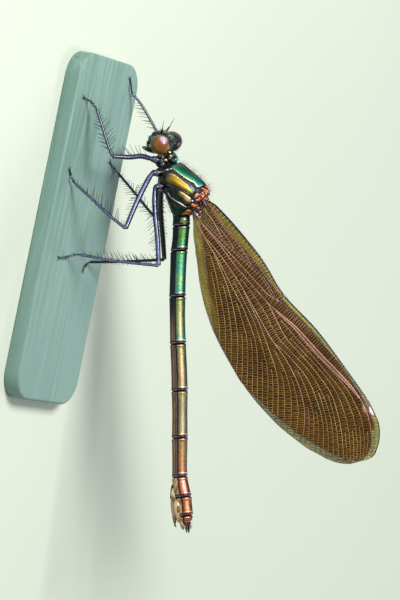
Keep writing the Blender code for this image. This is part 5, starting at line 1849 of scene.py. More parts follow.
def make_head():
    rng = np.random.default_rng(19)
    core = Shape()
    for at, sizes in HEAD_LUMPS:
        core.ball(head(at), sizes, HEAD_AXES, 36, 24)
    for sign in (1, -1):  # sockets of the feelers
        start = np.array((sign * ANTENNA_AT[0], ANTENNA_AT[1], ANTENNA_AT[2]))
        way = unit(np.array((sign * ANTENNA_LEAN[0], ANTENNA_LEAN[1], ANTENNA_LEAN[2])))
        core.tube(head(np.array([start - way * 0.3, start + way * 0.05, start + way * 0.16])), (0.28, 0.24, 0.16), 16)
    for at, size in (((0.0, 0.62, 1.06), 0.13), ((0.30, 0.34, 1.05), 0.12), ((-0.30, 0.34, 1.05), 0.12)):
        core.ball(head(at), (size, size, size * 0.8), HEAD_AXES, 16, 10)
    points, faces = fused(core, 0.04, 2)
    flat = (points - HEAD_MIDDLE) @ HEAD_AXES.T
    l, f, t = np.abs(flat[:, 0]), flat[:, 1], flat[:, 2]
    # grooves between the face's plates
    normal = unit(points - head(np.stack([flat[:, 0] * 0.5, f * 0.4, t * 0.5], 1)))
    groove = np.zeros(len(points))
    for level, soft in ((-0.08, 0.05), (-0.66, 0.05)):
        groove += np.exp(-(((t - level - 0.10 * np.cos(flat[:, 0] * 1.6)) / soft) ** 2)) * fade(f, 0.95, 1.2)
    groove += np.exp(-(((f - 0.62 - 0.1 * t) / 0.05) ** 2)) * fade(t, 0.55, 0.75) * 0.6
    groove += np.exp(-((flat[:, 0] / 0.035) ** 2)) * fade(-f, 0.1, 0.5) * 0.7
    points = points - normal * (0.05 * groove)[:, None]
    tone = Tones(len(points), srgb(12, 16, 18))
    tone.over(fade(t, 0.30, 0.55) * fade(f, -0.35, 0.1), srgb(8, 52, 40))
    tone.over(fade(f, 0.75, 1.05) * fade(t, -0.15, 0.1), srgb(4, 26, 44))
    tone.over(near(flat, (0.5, 1.52, -0.24), 0.34), srgb(16, 120, 150))
    tone.over(near(flat, (-0.5, 1.52, -0.24), 0.34), srgb(16, 120, 150))
    # painted highlight: a pale cyan spot in the middle of each blue patch of the face
    tone.over(near(flat, (0.5, 1.56, -0.22), 0.13), srgb(120, 210, 225))
    tone.over(near(flat, (-0.5, 1.56, -0.22), 0.13), srgb(120, 210, 225))
    tone.over(fade(f, 1.0, 1.25) * (1 - fade(t, -0.74, -0.66)), srgb(18, 16, 20))
    for sign in (1, -1):
        tone.over(near(flat, (sign * 1.22, 0.5, -1.12), 0.4), srgb(60, 54, 46))
        tone.over(near(flat, (sign * 1.38, -0.62, 0.62), 0.26) * 0.6, srgb(70, 110, 90))
    tone.over(fade(-f, 0.3, 0.8) * 0.35, srgb(46, 44, 50))
    for at in ((0.0, 0.62, 1.12), (0.30, 0.34, 1.12), (-0.30, 0.34, 1.12)):
        tone.over(near(flat, at, 0.13), srgb(200, 170, 120))
    # small marks, set where the drawing shows them, on both halves, only on faces turned to the camera; the cyan spot
    # on the brow, the pink spot on the lip and the pale violet dot between the eyes are painted highlights
    for half, u, v, radius, colour in (
        (1, 152.8, 138.0, 2.3, srgb(8, 96, 140)),
        (1, 153.0, 137.4, 1.5, srgb(130, 226, 240)),
        (1, 155.6, 135.2, 2.0, srgb(8, 60, 50)),
        (1, 147.3, 142.3, 1.0, srgb(214, 160, 160)),
        (1, 149.2, 144.4, 2.0, srgb(252, 240, 206)),
        (-1, 172.4, 134.2, 1.5, srgb(176, 196, 150)),
        (-1, 174.4, 136.4, 2.2, srgb(56, 128, 84)),
        (-1, 169.0, 136.4, 0.9, srgb(225, 215, 235)),
        (-1, 172.0, 146.0, 1.0, srgb(160, 120, 120)),
        (-1, 179.6, 142.4, 1.1, srgb(130, 60, 40)),
    ):
        twin = flat * (1, 1, 1)
        twin[:, 0] = half * np.abs(flat[:, 0])
        su, sv = seen(head(twin))
        away = np.hypot(su - u, sv - v) / radius
        normal = unit(twin / np.array((1.8, 1.4, 1.1)) ** 2) @ HEAD_AXES
        tone.over((1 - fade(away, 0.6, 1.3)) * fade(normal @ BACK, 0.0, 0.15), colour)
    shape = Shape(*TONES)
    shape.add(points, faces, 0, **tone.fields())
    shape.build("head_shell", shell_paint("head_shell", 0.6, 0.27, 0.4, 0.06, 0.007, 0.012), ("head",))

    for sign, name in ((1, "left"), (-1, "right")):
        # the eye, with a thin pale rim where it meets the head
        eye = Shape("high", "fore", "out")
        rows, cols = 72, 120
        lat = np.linspace(0, math.pi, rows + 1)[1:-1]
        lon = np.arange(cols) * 2 * math.pi / cols
        form = np.stack(
            [
                np.broadcast_to(np.cos(lat)[:, None], (len(lat), cols)),
                np.sin(lat)[:, None] * np.cos(lon)[None],
                np.sin(lat)[:, None] * np.sin(lon)[None],
            ],
            -1,
        )
        form[..., 0] *= sign
        place = np.array((sign * EYE_AT[0], EYE_AT[1], EYE_AT[2])) + form * EYE_SIZE
        grid = head(place.reshape(-1, 3)).reshape(*place.shape)
        if sign < 0:
            grid, form = grid[::-1], form[::-1]
        eye.grid(grid, True, 0, (True, True), high=form[..., 2], fore=form[..., 1], out=form[..., 0] * sign)
        eye.build(f"eyeball_{name}", eye_paint(name), (f"eye_{name}",))
        rim = Shape(*TONES)
        turn = np.linspace(0, 2 * math.pi, 73)
        ring = np.stack(
            [
                np.full(73, sign * (EYE_AT[0] - 0.52)),
                EYE_AT[1] + np.cos(turn) * EYE_SIZE[1] * 0.858,
                EYE_AT[2] + np.sin(turn) * EYE_SIZE[2] * 0.858,
            ],
            1,
        )
        rgb = Tones(73, srgb(30, 27, 24))
        low_rim = np.exp(-(((turn - 4.0) / 0.9) ** 2))
        rgb.over(low_rim, srgb(226, 214, 180))
        rgb.over(np.exp(-(((turn - 1.7) / 0.7) ** 2)) * 0.7, srgb(120, 124, 90))
        rim.tube(head(ring), 0.042, 8, 0, up=HEAD_LEFT, caps=(False, False), **rgb.fields())
        rim.build(f"eye_rim_{name}", shell_paint(f"eye_rim_{name}", 0.2, 0.35, 0.3))

        # feeler: two thick joints, then a bristle
        feeler = Shape(*TONES)
        start = np.array((sign * ANTENNA_AT[0], ANTENNA_AT[1], ANTENNA_AT[2]))
        lean = np.array((sign * ANTENNA_LEAN[0], ANTENNA_LEAN[1], ANTENNA_LEAN[2]))
        keys = np.array((-0.02, 0.06, 0.15, 0.17, 0.20, 0.34, 0.37, 0.39, 0.5, 0.62, 0.64, 0.8, 1.0))
        radii = np.array((0.11, 0.14, 0.13, 0.08, 0.12, 0.105, 0.07, 0.052, 0.044, 0.040, 0.036, 0.027, 0.012))
        bow = np.array((0.0, -0.10, 0.0))
        path = head(start + lean * keys[:, None] + bow * (keys * (1 - keys))[:, None] * 2)
        rgb = Tones(len(keys), srgb(8, 10, 12)).over(fade(keys, 0.35, 0.7), srgb(18, 34, 30))
        feeler.tube(path, radii, 10, 0, up=HEAD_FRONT, **rgb.fields())
        feeler.build(f"feeler_{name}", shell_paint(f"feeler_{name}", 0.2, 0.4, 0.3, 0.03, 0.002),
                     (f"antenna_{name}",))

    # mouthparts: lip below, jaws and palps
    mouth = Shape(*TONES)
    dark, brown = srgb(10, 10, 14), srgb(34, 26, 24)
    keys = (
        (0.10, -1.26, 0.62, 0.20),
        (0.45, -1.52, 0.76, 0.22),
        (0.90, -1.68, 0.74, 0.20),
        (1.30, -1.78, 0.60, 0.18),
        (1.62, -1.82, 0.46, 0.15),
        (1.80, -1.82, 0.30, 0.11),
    )
    keys = through(keys, 4)
    turn = np.arange(28) * 2 * math.pi / 28
    ring = np.stack(
        [
            keys[:, 2][:, None] * np.cos(turn)[None],
            np.broadcast_to(keys[:, 0][:, None], (len(keys), 28)),
            keys[:, 1][:, None] + keys[:, 3][:, None] * np.sin(turn)[None] * (1 - 0.35 * np.cos(turn * 2)[None]),
        ],
        -1,
    )
    grid = head(ring.reshape(-1, 3)).reshape(*ring.shape)
    mouth.grid(grid[::-1], True, 0, (True, True), red=dark[0], green=dark[1], blue=dark[2])
    for sign in (1, -1):
        palp = through(((0.40, 1.10, -1.70), (0.46, 1.50, -1.78), (0.40, 1.85, -1.80), (0.26, 2.10, -1.76), (0.12, 2.20, -1.70)), 4)
        palp = palp * (sign, 1, 1)
        radii = np.interp(np.linspace(0, 1, len(palp)), (0, 0.3, 0.7, 1), (0.15, 0.16, 0.12, 0.04))
        rgb = Tones(len(palp), srgb(20, 22, 34)).over(fade(np.linspace(0, 1, len(palp)), 0.6, 1), srgb(60, 66, 100))
        mouth.tube(head(palp), radii, 12, 0, up=HEAD_TOP, squash=0.7, **rgb.fields())
        jaw = through(((0.90, 0.96, -0.98), (0.84, 1.34, -1.10), (0.54, 1.64, -1.24), (0.20, 1.74, -1.30)), 4)
        jaw = jaw * (sign, 1, 1)
        radii = np.interp(np.linspace(0, 1, len(jaw)), (0, 0.5, 1), (0.20, 0.17, 0.06))
        rgb = Tones(len(jaw), srgb(255, 246, 220)).over(fade(np.linspace(0, 1, len(jaw)), 0.12, 0.34), srgb(18, 12, 12))
        mouth.tube(head(jaw), radii, 12, 0, up=HEAD_TOP, **rgb.fields())
        maxilla = through(((0.66, 0.70, -1.30), (0.60, 1.20, -1.46), (0.42, 1.62, -1.54), (0.26, 1.86, -1.52)), 4)
        maxilla = maxilla * (sign, 1, 1)
        radii = np.interp(np.linspace(0, 1, len(maxilla)), (0, 0.5, 1), (0.17, 0.13, 0.04))
        mouth.tube(head(maxilla), radii, 10, 0, up=HEAD_TOP, red=brown[0], green=brown[1], blue=brown[2])
    mouth.build("mouth", shell_paint("mouth", 0.3, 0.3, 0.35, 0.05, 0.004), ("mouthparts",))

    # hair: long on the brow and behind the eyes, short round the mouth
    coat = Shape()
    normals = unit(flat / np.array((1.8, 1.4, 1.1)) ** 2)

    def tuft(mask, count, length, spread, thick, lean=(0, 0, 0)):
        pick = rng.choice(np.nonzero(mask)[0], count, replace=False) if mask.sum() > count else np.nonzero(mask)[0]
        ways = (normals[pick] + np.asarray(lean)) @ HEAD_AXES
        uv = np.stack([0.5 + flat[pick, 0] / 6, 0.5 + np.arctan2(flat[pick, 2], flat[pick, 1]) / (2 * math.pi)], 1)
        hairs(coat, points[pick], ways, length * (0.6 + spread * rng.random(len(pick))), thick, rng, 0.2, 0, uv)

    tuft((t > 0.45) & (f > -0.2) & (f < 1.2), 170, 0.34, 0.8, 0.008, (0, 0.3, 0.3))
    tuft((f < -0.55) & (l < 2.2), 420, 0.30, 0.8, 0.008, (0, -0.2, 0))
    tuft((f > 1.0) & (t < 0.3), 150, 0.22, 0.7, 0.007, (0, 0.4, 0))
    tuft((t < -0.9) & (f > -0.2), 120, 0.26, 0.7, 0.007, (0, 0.4, -0.2))
    coat.build("head_hair", hair_paint("head_hair", srgb(40, 44, 40), srgb(92, 96, 84)), uv=True)


def eye_paint(name):
    """Golden brown, redder above and olive below, with fine facets and a painted lavender highlight."""
    paint = Paint(f"eye_{name}", roughness=0.45, specular_ior_level=0.25, coat_weight=0.75, coat_roughness=0.24)
    high, fore, out = paint.attr("high"), paint.attr("fore"), paint.attr("out")
    wave = paint.math("MULTIPLY_ADD", paint.noise(0.5, 2.0), 0.16, high)
    tilt = paint.math("MULTIPLY_ADD", fore, -0.12, wave)
    level = paint.fit(tilt, -1.0, 1.1, 0.0, 1.0, soft=False)
    colour = paint.ramp(
        level,
        (0.0, srgb(56, 44, 2)),
        (0.2, srgb(92, 66, 0)),
        (0.42, srgb(126, 84, 0)),
        (0.60, srgb(132, 78, 0)),
        (0.76, srgb(124, 62, 6)),
        (0.90, srgb(108, 46, 20)),
        (1.0, srgb(88, 38, 20)),
    )
    streak = paint.noise(0.28, 3.0, 0.6)
    colour = paint.mix(paint.fit(streak, 0.5, 0.75, 0.0, 0.3), colour, srgb(150, 100, 28))
    # painted highlight: a lavender gleam on its upper outer face, with a paler heart
    facing = paint.math("MULTIPLY_ADD", out, 0.50, paint.math("MULTIPLY", high, 0.835))
    facing = paint.math("MULTIPLY_ADD", fore, -0.23, facing)
    facing = paint.math("MULTIPLY_ADD", paint.noise(0.4, 2.0), 0.06, facing)
    colour = paint.mix(paint.fit(facing, 0.80, 1.0, 0.0, 0.60), colour, srgb(190, 138, 150))
    colour = paint.mix(paint.fit(facing, 0.93, 1.02, 0.0, 0.85), colour, srgb(226, 206, 236))
    rear = paint.math("MULTIPLY_ADD", fore, 0.7, out)
    colour = paint.mix(paint.fit(rear, -0.45, -0.62), colour, srgb(20, 20, 20))
    facet = paint.cells(0.036)
    colour = paint.mix(paint.fit(facet, 0.25, 0.75, 0.0, 0.45), colour, srgb(70, 40, 6))
    paint.put(base_color=colour, normal=paint.bump(paint.fit(facet, 0.0, 0.6, 1.0, 0.0), 0.004))
    return paint.material


# ---- legs ---------------------------------------------------------------------------
FOOT = 0.20
LEGS = {
    "fore_left": (
        ((161.5, 161.5, 0.9), (156.0, 159.8, 1.5), (150.6, 158.6, 1.9)),
        ((141.0, 156.2, 2.8), (129.0, 157.2, 3.8), (112.5, 156.2, 4.9)),
        ((108.0, 145.0, 5.0), (101.0, 122.0, 4.9), (96.8, 110.0, 4.8)),
        ((93.5, 104.5), (89.5, 101.0), (84.0, 97.3)),
        (0.75, 0.30),
    ),
    "mid_left": (
        ((162.5, 172.5, 1.1), (157.0, 172.8, 1.6), (151.6, 174.4, 2.0)),
        ((145.0, 185.5, 2.9), (136.0, 204.0, 4.0), (125.6, 228.6, 5.2)),
        ((112.0, 217.5, 5.3), (92.0, 199.0, 5.3), (75.5, 184.0, 5.2)),
        ((72.6, 179.5), (71.0, 175.0), (69.6, 169.0)),
        (0.30, 0.10),
    ),
    "hind_left": (
        ((165.5, 186.0, 1.2), (160.0, 186.5, 1.7), (155.0, 190.5, 2.1)),
        ((155.2, 214.0, 2.5), (157.6, 240.0, 2.9), (158.6, 265.6, 3.2)),
        ((140.0, 263.8, 3.3), (110.0, 260.2, 3.2), (80.0, 254.6, 3.0)),
        ((74.0, 254.8), (67.0, 256.8), (59.0, 258.0)),
        (0.75, 0.30),
    ),
    "fore_right": (
        ((163.0, 160.5, -0.9), (161.0, 158.6, -1.6), (159.6, 155.6, -2.2)),
        ((159.4, 150.0, -3.2), (159.2, 143.0, -4.1), (158.6, 135.4, -4.9)),
        ((152.6, 123.8, -5.0), (142.0, 105.6, -5.0), (132.0, 92.6, -4.9)),
        ((131.2, 88.0), (130.8, 83.5), (130.0, 78.6)),
        (0.15, 0.05),
    ),
    "mid_right": (
        ((164.6, 171.5, -1.1), (162.0, 173.0, -1.8), (160.6, 176.6, -2.4)),
        ((159.6, 191.0, -3.3), (158.6, 205.0, -4.2), (157.6, 220.6, -5.2)),
        ((148.0, 209.4, -5.3), (132.0, 189.6, -5.3), (118.4, 173.6, -5.2)),
        ((115.4, 169.8), (112.8, 166.2), (110.0, 162.0)),
        (0.15, 0.05),
    ),
    "hind_right": (
        ((167.5, 186.0, -1.2), (164.0, 188.0, -1.8), (161.4, 192.5, -2.3)),
        ((161.0, 215.0, -2.8), (163.0, 240.0, -3.3), (164.4, 259.6, -3.6)),
        ((145.0, 260.6, -3.3), (115.0, 261.8, -2.7), (90.0, 262.0, -2.1)),
        ((87.0, 264.0), (84.8, 266.8), (83.0, 270.4)),
        (0.15, 0.05),
    ),
}
# lengths of the two rows of spines, in drawing units: thigh, then shin
SPINES = {
    "fore_left": ((9.5, 1.6), (8.0, 6.8)),
    "mid_left": ((6.5, 2.5), (9.6, 2.2)),
    "hind_left": ((2.0, 7.6), (8.6, 1.6)),
    "fore_right": ((3.0, 5.0), (1.6, 6.8)),
    "mid_right": ((5.0, 6.5), (6.5, 6.5)),
    "hind_right": ((4.5, 4.0), (6.0, 3.5)),
}


# how much lavender pruinescence and painted highlight the thigh and the shin have
BLOOM_AND_SHEEN = {
    "fore_left": (0.35, 0.45), "mid_left": (0.9, 0.75), "hind_left": (1.0, 0.85),
    "fore_right": (0.35, 0.5), "mid_right": (0.5, 0.5), "hind_right": (1.0, 0.85),
}


def leg_paint(name, dark, bloom):
    """Black shell with a lavender pruinescence and painted highlight on its outer face."""
    paint = Paint(name, metallic=0.25, roughness=0.3, specular_ior_level=0.6, coat_weight=0.45, coat_roughness=0.25)
    face, along = paint.attr("face"), paint.attr("along")
    wave = paint.math("MULTIPLY_ADD", paint.noise(0.35, 2.0), 0.5, face)
    share = paint.math("MULTIPLY", paint.fit(wave, 1.0, 1.26), paint.attr("bloom"))
    blot = paint.fit(paint.noise(0.12, 3.0, 0.6), 0.3, 0.7, 0.55, 1.0)
    colour = paint.mix(paint.math("MULTIPLY", share, blot), dark, bloom)
    colour = paint.mix(paint.math("MULTIPLY", paint.attr("joint"), 0.75), colour, srgb(150, 130, 150))
    paint.put(base_color=colour)
    normal = paint.bump(paint.cells(0.06), 0.004)
    paint.put(normal=paint.bump(paint.noise(0.03, 2.0, 0.6), 0.003, normal))
    return paint.material


def limb(shape, path, radius, hand, ridges=0.06, sides=16, bloom=1.0, joint=None, mat=0, caps=(True, True),
         both=False):
    """A leg piece: rings whose outer face is marked for the lavender pruinescence and painted highlight, with blunt
    ridges.
    """
    path = np.asarray(path, float)
    count = len(path)
    way = unit(np.gradient(path, axis=0))
    out = unit(LEFT * hand + RIGHT * 0.15)
    across = unit(out - way * (way @ out)[:, None])
    other = np.cross(way, across)
    turn = np.arange(sides) * 2 * math.pi / sides
    radius = np.broadcast_to(np.asarray(radius, float), (count,))
    wobble = 1 + ridges * np.cos(turn * 4 + 0.6)
    ring = (
        across[:, None] * (np.cos(turn) * wobble)[None, :, None]
        + other[:, None] * (np.sin(turn) * wobble)[None, :, None]
    )
    points = path[:, None] + ring * radius[:, None, None]
    share = np.linspace(0, 1, count)
    shape.grid(
        points,
        True,
        mat,
        caps,
        face=np.broadcast_to((np.abs(np.cos(turn)) if both else np.cos(turn))[None], (count, sides)),
        along=np.broadcast_to(share[:, None], (count, sides)),
        bloom=np.broadcast_to(np.broadcast_to(bloom, (count,))[:, None], (count, sides)),
        joint=np.broadcast_to(np.broadcast_to(0.0 if joint is None else joint, (count,))[:, None], (count, sides)),
    )


def spine_rows(shape, path, lengths, hand, rng, start, end, u0, v0, pitch=2.8):
    """Two rows of spines on the inner face of a leg piece, leaning to its far end."""
    path = resampled(path, pitch * UNIT)
    way = unit(np.gradient(path, axis=0))
    across = unit(np.cross(way, BACK))  # square to the leg in the drawing
    if across.mean(axis=0) @ UP < 0:
        across = -across
    inner = -LEFT * hand
    for row, length in enumerate(lengths):
        sign = 1 if row == 0 else -1
        share = np.linspace(0, 1, len(path))
        keep = (share > start) & (share < end) & (rng.random(len(share)) > 0.05)
        roots = path[keep] + way[keep] * rng.uniform(-0.13, 0.13, keep.sum())[:, None]
        fall = np.clip(np.minimum((share[keep] - start) / 0.12, (end - share[keep]) / 0.35), 0.45, 1)
        sizes = 1.5 * length * UNIT * fall * rng.uniform(0.80, 1.08, keep.sum())
        ways = across[keep] * sign * 0.86 + inner * 0.42 + way[keep] * 0.52
        ways = unit(ways + rng.normal(size=ways.shape) * 0.075)
        ends = roots + ways * sizes[:, None]
        ends[:, 2] = np.maximum(ends[:, 2], BASE_HEIGHT + 0.03)
        bend = way[keep] * (rng.uniform(0.04, 0.16, keep.sum()) * sizes)[:, None]
        uv = np.stack([u0 + 0.14 * share[keep], np.full(keep.sum(), v0 + 0.06 * row)], 1)
        shape.sticks(roots, ends, 0.036 + 0.008 * rng.random(keep.sum()), 0.016, 4, 0, bend, 4, uv=uv)


def make_legs():
    near_paint = leg_paint("leg_shell", srgb(6, 7, 18), srgb(118, 128, 188))
    claw = Paint("claw", roughness=0.25, specular_ior_level=0.6, coat_weight=0.5)
    claw.put(base_color=claw.mix(claw.fit(claw.noise(0.1, 2.0), 0.4, 0.6), srgb(16, 14, 18), srgb(52, 36, 28)))
    spine = hair_paint("spine", srgb(10, 22, 16), srgb(26, 46, 32))
    fields = ("face", "along", "bloom", "joint")
    for number, (name, (root, thigh, shin, foot, lift)) in enumerate(LEGS.items()):
        hand = 1 if name.endswith("left") else -1
        rng = np.random.default_rng(100 + number)
        fore = name.startswith("fore")
        # hip, ring joint and thigh
        shape = Shape(*fields)
        rows = through(root + thigh, 14)
        path = side(rows[:, 0], rows[:, 1], rows[:, 2])
        hip = path[:22]
        share = np.linspace(0, 1, len(hip))
        radius = np.interp(share, (0, 0.35, 0.75, 0.92, 1), (0.40, 0.50, 0.44, 0.30, 0.2))
        marks = np.exp(-(((share - 0.80) / 0.045) ** 2)) + 0.8 * np.exp(-(((share - 0.30) / 0.05) ** 2))
        limb(shape, hip, radius, hand, 0.03, 24, 0.25 + 0.2 * np.sin(share * 9), marks * 0.7)
        ring = path[17:31]
        share = np.linspace(0, 1, len(ring))
        radius = np.interp(share, (0, 0.2, 0.45, 0.8, 1), (0.22, 0.36, 0.37, 0.27, 0.2))
        limb(shape, ring, radius, hand, 0.02, 20, 0.45, np.exp(-(((share - 0.22) / 0.06) ** 2)) * 0.8)
        thigh_path = path[27:]
        share = np.linspace(0, 1, len(thigh_path))
        radius = np.interp(
            share, (0, 0.06, 0.2, 0.7, 0.93, 0.975, 1.0), (0.20, 0.255, 0.285, 0.27, 0.25, 0.275, 0.17)
        )
        knee_tone = np.exp(-(((share - 0.955) / 0.02) ** 2)) * 0.5
        both = name in ("fore_right", "mid_right")  # their inner faces have the lavender and painted highlight too
        limb(shape, thigh_path, radius, hand, 0.07, 18, BLOOM_AND_SHEEN[name][0], knee_tone, both=both)
        shape.build(f"thigh_{name}", near_paint, (f"femur_{name}",))
        # shin
        shape = Shape(*fields)
        rows = through((thigh[-1],) + shin, 14)
        shin_path = side(rows[:, 0], rows[:, 1], rows[:, 2])
        share = np.linspace(0, 1, len(shin_path))
        radius = np.interp(share, (0, 0.015, 0.05, 0.10, 0.9, 0.975, 1), (0.10, 0.16, 0.20, 0.165, 0.14, 0.165, 0.10))
        limb(shape, shin_path, radius, hand, 0.08, 14, BLOOM_AND_SHEEN[name][1], both=both)
        shape.build(f"shin_{name}", near_paint, (f"tibia_{name}",))
        # foot: three joints, then a pair of claws that grip the base
        shape = Shape(*fields)
        heights = (FOOT + lift[0], 0.13 + lift[1], 0.115)
        toes = [shin_path[-1]] + [down(*p, h) for p, h in zip(foot, heights)]
        path = through(toes, 12)
        share = np.linspace(0, 1, len(path))
        for a, b, thick in ((0.0, 0.20, 0.105), (0.19, 0.50, 0.10), (0.49, 1.0, 0.095)):
            part = (share >= a) & (share <= b)
            piece = path[part]
            s = np.linspace(0, 1, len(piece))
            limb(shape, piece, thick * np.interp(s, (0, 0.1, 0.75, 0.93, 1), (0.65, 0.85, 0.95, 1.25, 0.8)), hand, 0.05,
                 12, 0.45)
        tip = path[-1]
        forth = unit(path[-1] - path[-5])
        forth = unit(forth * (1, 1, 0.2))
        beside = unit(np.cross(forth, (0, 0, 1.0)))
        for sign in (1, -1):
            hook = tip + np.array(
                [
                    forth * s * 0.34 + beside * sign * (0.05 + 0.16 * math.sin(s * 2.2)) + np.array((0, 0, 1.0)) * z
                    for s, z in ((-0.1, 0.0), (0.2, 0.05), (0.5, 0.055), (0.8, 0.0), (1.0, -0.075))
                ]
            )
            hook = through(hook, 3)
            hook[:, 2] = np.maximum(hook[:, 2], BASE_HEIGHT + 0.02)
            radius = np.interp(np.linspace(0, 1, len(hook)), (0, 0.3, 1), (0.05, 0.045, 0.010))
            shape.tube(hook, radius, 8, 1)
        shape.build(f"foot_{name}", [near_paint, claw.material], (f"tarsus_{name}",))
        # spines and fine hair
        coat = Shape()
        thigh_rows, shin_rows = SPINES[name]
        spine_rows(coat, thigh_path, thigh_rows, hand, rng, 0.10, 0.95, 0.02 + 0.16 * number, 0.1)
        spine_rows(coat, shin_path, shin_rows, hand, rng, 0.04, 0.96, 0.02 + 0.16 * number, 0.4)
        spine_rows(coat, path, (1.6, 1.6), hand, rng, 0.08, 0.92, 0.02 + 0.16 * number, 0.7, 1.4)
        coat.build(f"spines_{name}", spine, uv=True)


# ---- tip of the abdomen ---------------------------------------------------------------
def make_tip():
    axes = np.array((RIGHT, UP, LEFT))
    shape = Shape(*TONES)

    def blade(rows, colours, hand, squash=1.0, sides=14):
        """A tapering body: drawing u, v, left and radius, with tones along it."""
        rows = through(rows, 9)
        share, keys = np.linspace(0, 1, len(rows)), np.linspace(0, 1, len(colours))
        rgb = np.stack([np.interp(share, keys, [c[k] for c in colours]) for k in range(3)], 1)
        ends = np.clip(np.minimum(share, 1 - share) / 0.10, 0, 1)
        radius = rows[:, 3] * np.sqrt(np.clip(1 - (1 - ends) ** 2, 0.02, 1))
        shape.tube(side(rows[:, 0], rows[:, 1], rows[:, 2] * hand), radius, sides, 0, up=LEFT, squash=squash,
                   red=rgb[:, 0], green=rgb[:, 1], blue=rgb[:, 2])

    def seam(rows, colour, hand, radius=0.035):
        """A thin dark line along the border of a valve."""
        rows = through(rows, 5)
        shape.tube(side(rows[:, 0], rows[:, 1], rows[:, 2] * hand), radius, 6, 0, red=colour[0], green=colour[1],
                   blue=colour[2])

    beige, tan, dark = srgb(206, 180, 140), srgb(150, 112, 74), srgb(40, 30, 26)
    for hand in (1.0, -1.0):
        # outer valve: a pale plate with a brown oval
        blade(((176.6, 499.0, 0.28, 0.14), (176.4, 502.5, 0.42, 0.34), (177.4, 508.0, 0.50, 0.42),
               (178.2, 514.0, 0.48, 0.38), (178.6, 519.0, 0.40, 0.26), (178.9, 522.5, 0.32, 0.12)),
              (tan, beige, beige, srgb(190, 156, 112), tan), hand, 0.62)
        for size, colour in ((1.0, srgb(112, 72, 40)), (0.68, srgb(150, 96, 52))):
            shape.ball(side(178.5, 509.3, (0.745 + 0.015 * (size < 1)) * hand), (0.20 * size, 0.40 * size, 0.05), axes,
                       20, 12, 0, **dict(zip(TONES, colour)))
        seam(((174.6, 499.5, 0.50), (174.2, 504.0, 0.58), (174.9, 510.0, 0.60), (176.0, 516.0, 0.54),
              (177.4, 521.6, 0.42)), srgb(84, 52, 30), hand)
        # inner valves, with the stylus at their end
        blade(((172.4, 497.0, 0.12, 0.14), (172.8, 501.5, 0.22, 0.26), (173.6, 508.0, 0.28, 0.32),
               (174.4, 515.0, 0.26, 0.27), (174.9, 520.0, 0.20, 0.17), (175.4, 524.0, 0.16, 0.08)),
              (srgb(96, 80, 66), srgb(150, 128, 104), srgb(170, 146, 116), srgb(126, 104, 84), srgb(80, 64, 50)), hand, 0.8)
        blade(((175.2, 522.8, 0.18, 0.07), (174.8, 524.6, 0.20, 0.06), (173.9, 526.6, 0.22, 0.035)),
              (dark, srgb(30, 40, 30), srgb(60, 90, 60)), hand, 1.0, 8)
        # the tube's dark prong beside segment eight
        blade(((173.6, 488.0, 0.20, 0.20), (173.4, 493.0, 0.26, 0.26), (174.0, 498.0, 0.30, 0.30), (175.2, 503.0, 0.30, 0.24)),
              (srgb(214, 190, 150), srgb(230, 214, 180), srgb(120, 74, 36), srgb(150, 104, 60)), hand, 0.85, 14)
        blade(((172.4, 484.6, 0.18, 0.08), (171.6, 490.0, 0.20, 0.12), (171.2, 495.0, 0.18, 0.11), (170.0, 498.8, 0.14, 0.05)),
              (srgb(30, 22, 26), srgb(56, 40, 40), srgb(40, 30, 30)), hand, 0.9, 10)
        # saw blades, just showing
        blade(((172.8, 516.0, 0.06, 0.10), (174.2, 522.0, 0.06, 0.10), (176.2, 527.6, 0.05, 0.05)),
              (srgb(120, 76, 44), srgb(90, 52, 32), srgb(50, 30, 22)), hand, 0.5, 8)
        # cerci: the near one with a painted lavender highlight, the far one dark as painted shade
        aside = 0.0 if hand > 0 else 2.1
        blade(((186.8 + aside, 522.6, 0.42, 0.10), (186.5 + aside, 525.4, 0.48, 0.15),
               (186.4 + aside, 528.4, 0.50, 0.155), (186.6 + aside, 531.0, 0.47, 0.11),
               (186.8 + aside, 533.0, 0.42, 0.035)),
              (dark, srgb(16, 14, 24), srgb(24, 24, 42), srgb(110, 112, 160), srgb(30, 26, 40)) if hand > 0 else
              (dark, srgb(12, 16, 14), srgb(14, 22, 20), srgb(24, 40, 34), srgb(16, 22, 20)), hand, 0.9, 14)
        # paraprocts below them
        blade(((182.0, 518.0, 0.34, 0.20), (182.2, 522.0, 0.36, 0.30), (182.6, 526.0, 0.34, 0.26),
               (183.4, 529.8, 0.30, 0.10)),
              (srgb(176, 146, 108), srgb(190, 164, 128), srgb(168, 134, 94), srgb(110, 76, 46)), hand, 0.8)
        blade(((185.4, 521.4, 0.50, 0.08), (186.6, 523.4, 0.56, 0.13), (187.6, 525.6, 0.52, 0.07)),
              (srgb(40, 24, 24), srgb(60, 30, 30), srgb(30, 20, 22)), hand, 0.8, 10)
        # a short whitish bar at the end of segment ten: a painted glint
        blade(((183.2, 517.9, 0.62, 0.05), (185.0, 518.3, 0.66, 0.09), (186.8, 518.2, 0.62, 0.05)),
              (srgb(170, 160, 150), srgb(240, 236, 232), srgb(200, 176, 160)), hand, 0.8, 10)
    blade(((190.4, 517.6, 0.0, 0.12), (190.9, 521.0, 0.0, 0.16), (191.0, 525.0, 0.0, 0.14), (190.6, 529.0, 0.0, 0.05)),
          (srgb(196, 140, 100), srgb(222, 184, 150), srgb(214, 174, 140), srgb(120, 80, 56)), 1.0, 1.5)
    shape.build("egg_layer", shell_paint("egg_layer", 0.15, 0.38, 0.45, 0.07, 0.006, 0.012),
                ("ovipositor",))


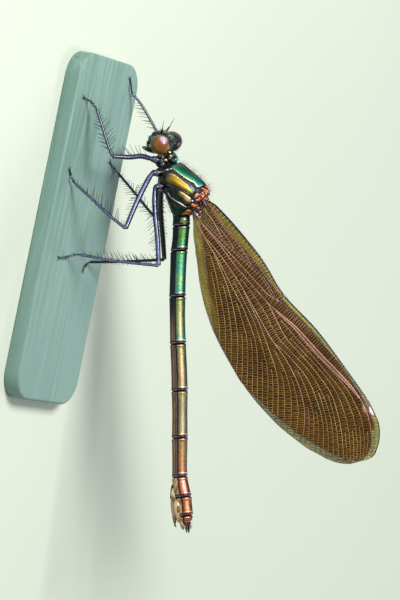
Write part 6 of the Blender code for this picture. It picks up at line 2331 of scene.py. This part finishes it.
# ---- base ---------------------------------------------------------------------------
def make_base():
    x, y = BASE_LENGTH / 2 - BASE_CORNER, BASE_WIDTH / 2 - BASE_CORNER
    corners = []
    for i, (cx, cy) in enumerate(((x, y), (-x, y), (-x, -y), (x, -y))):
        for k in range(17):
            turn = math.pi / 2 * (i + k / 16)
            corners.append((cx, cy, math.cos(turn), math.sin(turn)))
    corners = np.array(corners)
    profile = [(0.0, 0.16), (0.03, 0.07), (0.09, 0.015), (0.18, 0.0)]
    profile += [(BASE_HEIGHT - 0.35 + 0.35 * math.sin(a), 0.35 - 0.35 * math.cos(a)) for a in np.linspace(0, math.pi / 2, 9)]
    rings = []
    for height, inset in profile:
        reach = BASE_CORNER - inset
        rings.append(np.stack([corners[:, 0] + corners[:, 2] * reach, corners[:, 1] + corners[:, 3] * reach,
                               np.full(len(corners), height)], 1))
    shape = Shape()
    shape.grid(np.array(rings), True, 0, (True, True))
    paint = Paint("base_paint", roughness=0.62, specular_ior_level=0.35)
    place = paint.place()
    long = paint.node("ShaderNodeVectorMath", 0, {0: place, 1: (0.05, 1.0, 1.0)}, operation="MULTIPLY")
    vein = paint.noise(0.32, 4.0, 0.6, long)
    broad = paint.noise(2.2, 3.0, 0.5, long)
    tone = paint.ramp(vein, (0.30, srgb(98, 130, 120)), (0.5, srgb(114, 147, 137)), (0.7, srgb(134, 164, 152)))
    tone = paint.mix(paint.fit(broad, 0.35, 0.65, 0.0, 0.6), tone, srgb(122, 154, 148))
    speck = paint.noise(0.12, 2.0)
    tone = paint.mix(paint.fit(speck, 0.62, 0.70, 0.0, 0.35), tone, srgb(146, 168, 154))
    normal = paint.bump(vein, 0.05, paint.bump(paint.noise(0.1, 2.0), 0.012))
    paint.put(base_color=tone, roughness=paint.fit(vein, 0.3, 0.7, 0.52, 0.7), normal=normal)
    shape.build("base", paint.material, ("stand_base",), sharp=40)


make_view()
make_stage()
make_abdomen()
make_tip()
make_thorax()
make_neck()
make_head()
make_legs()
make_wings()
make_base()
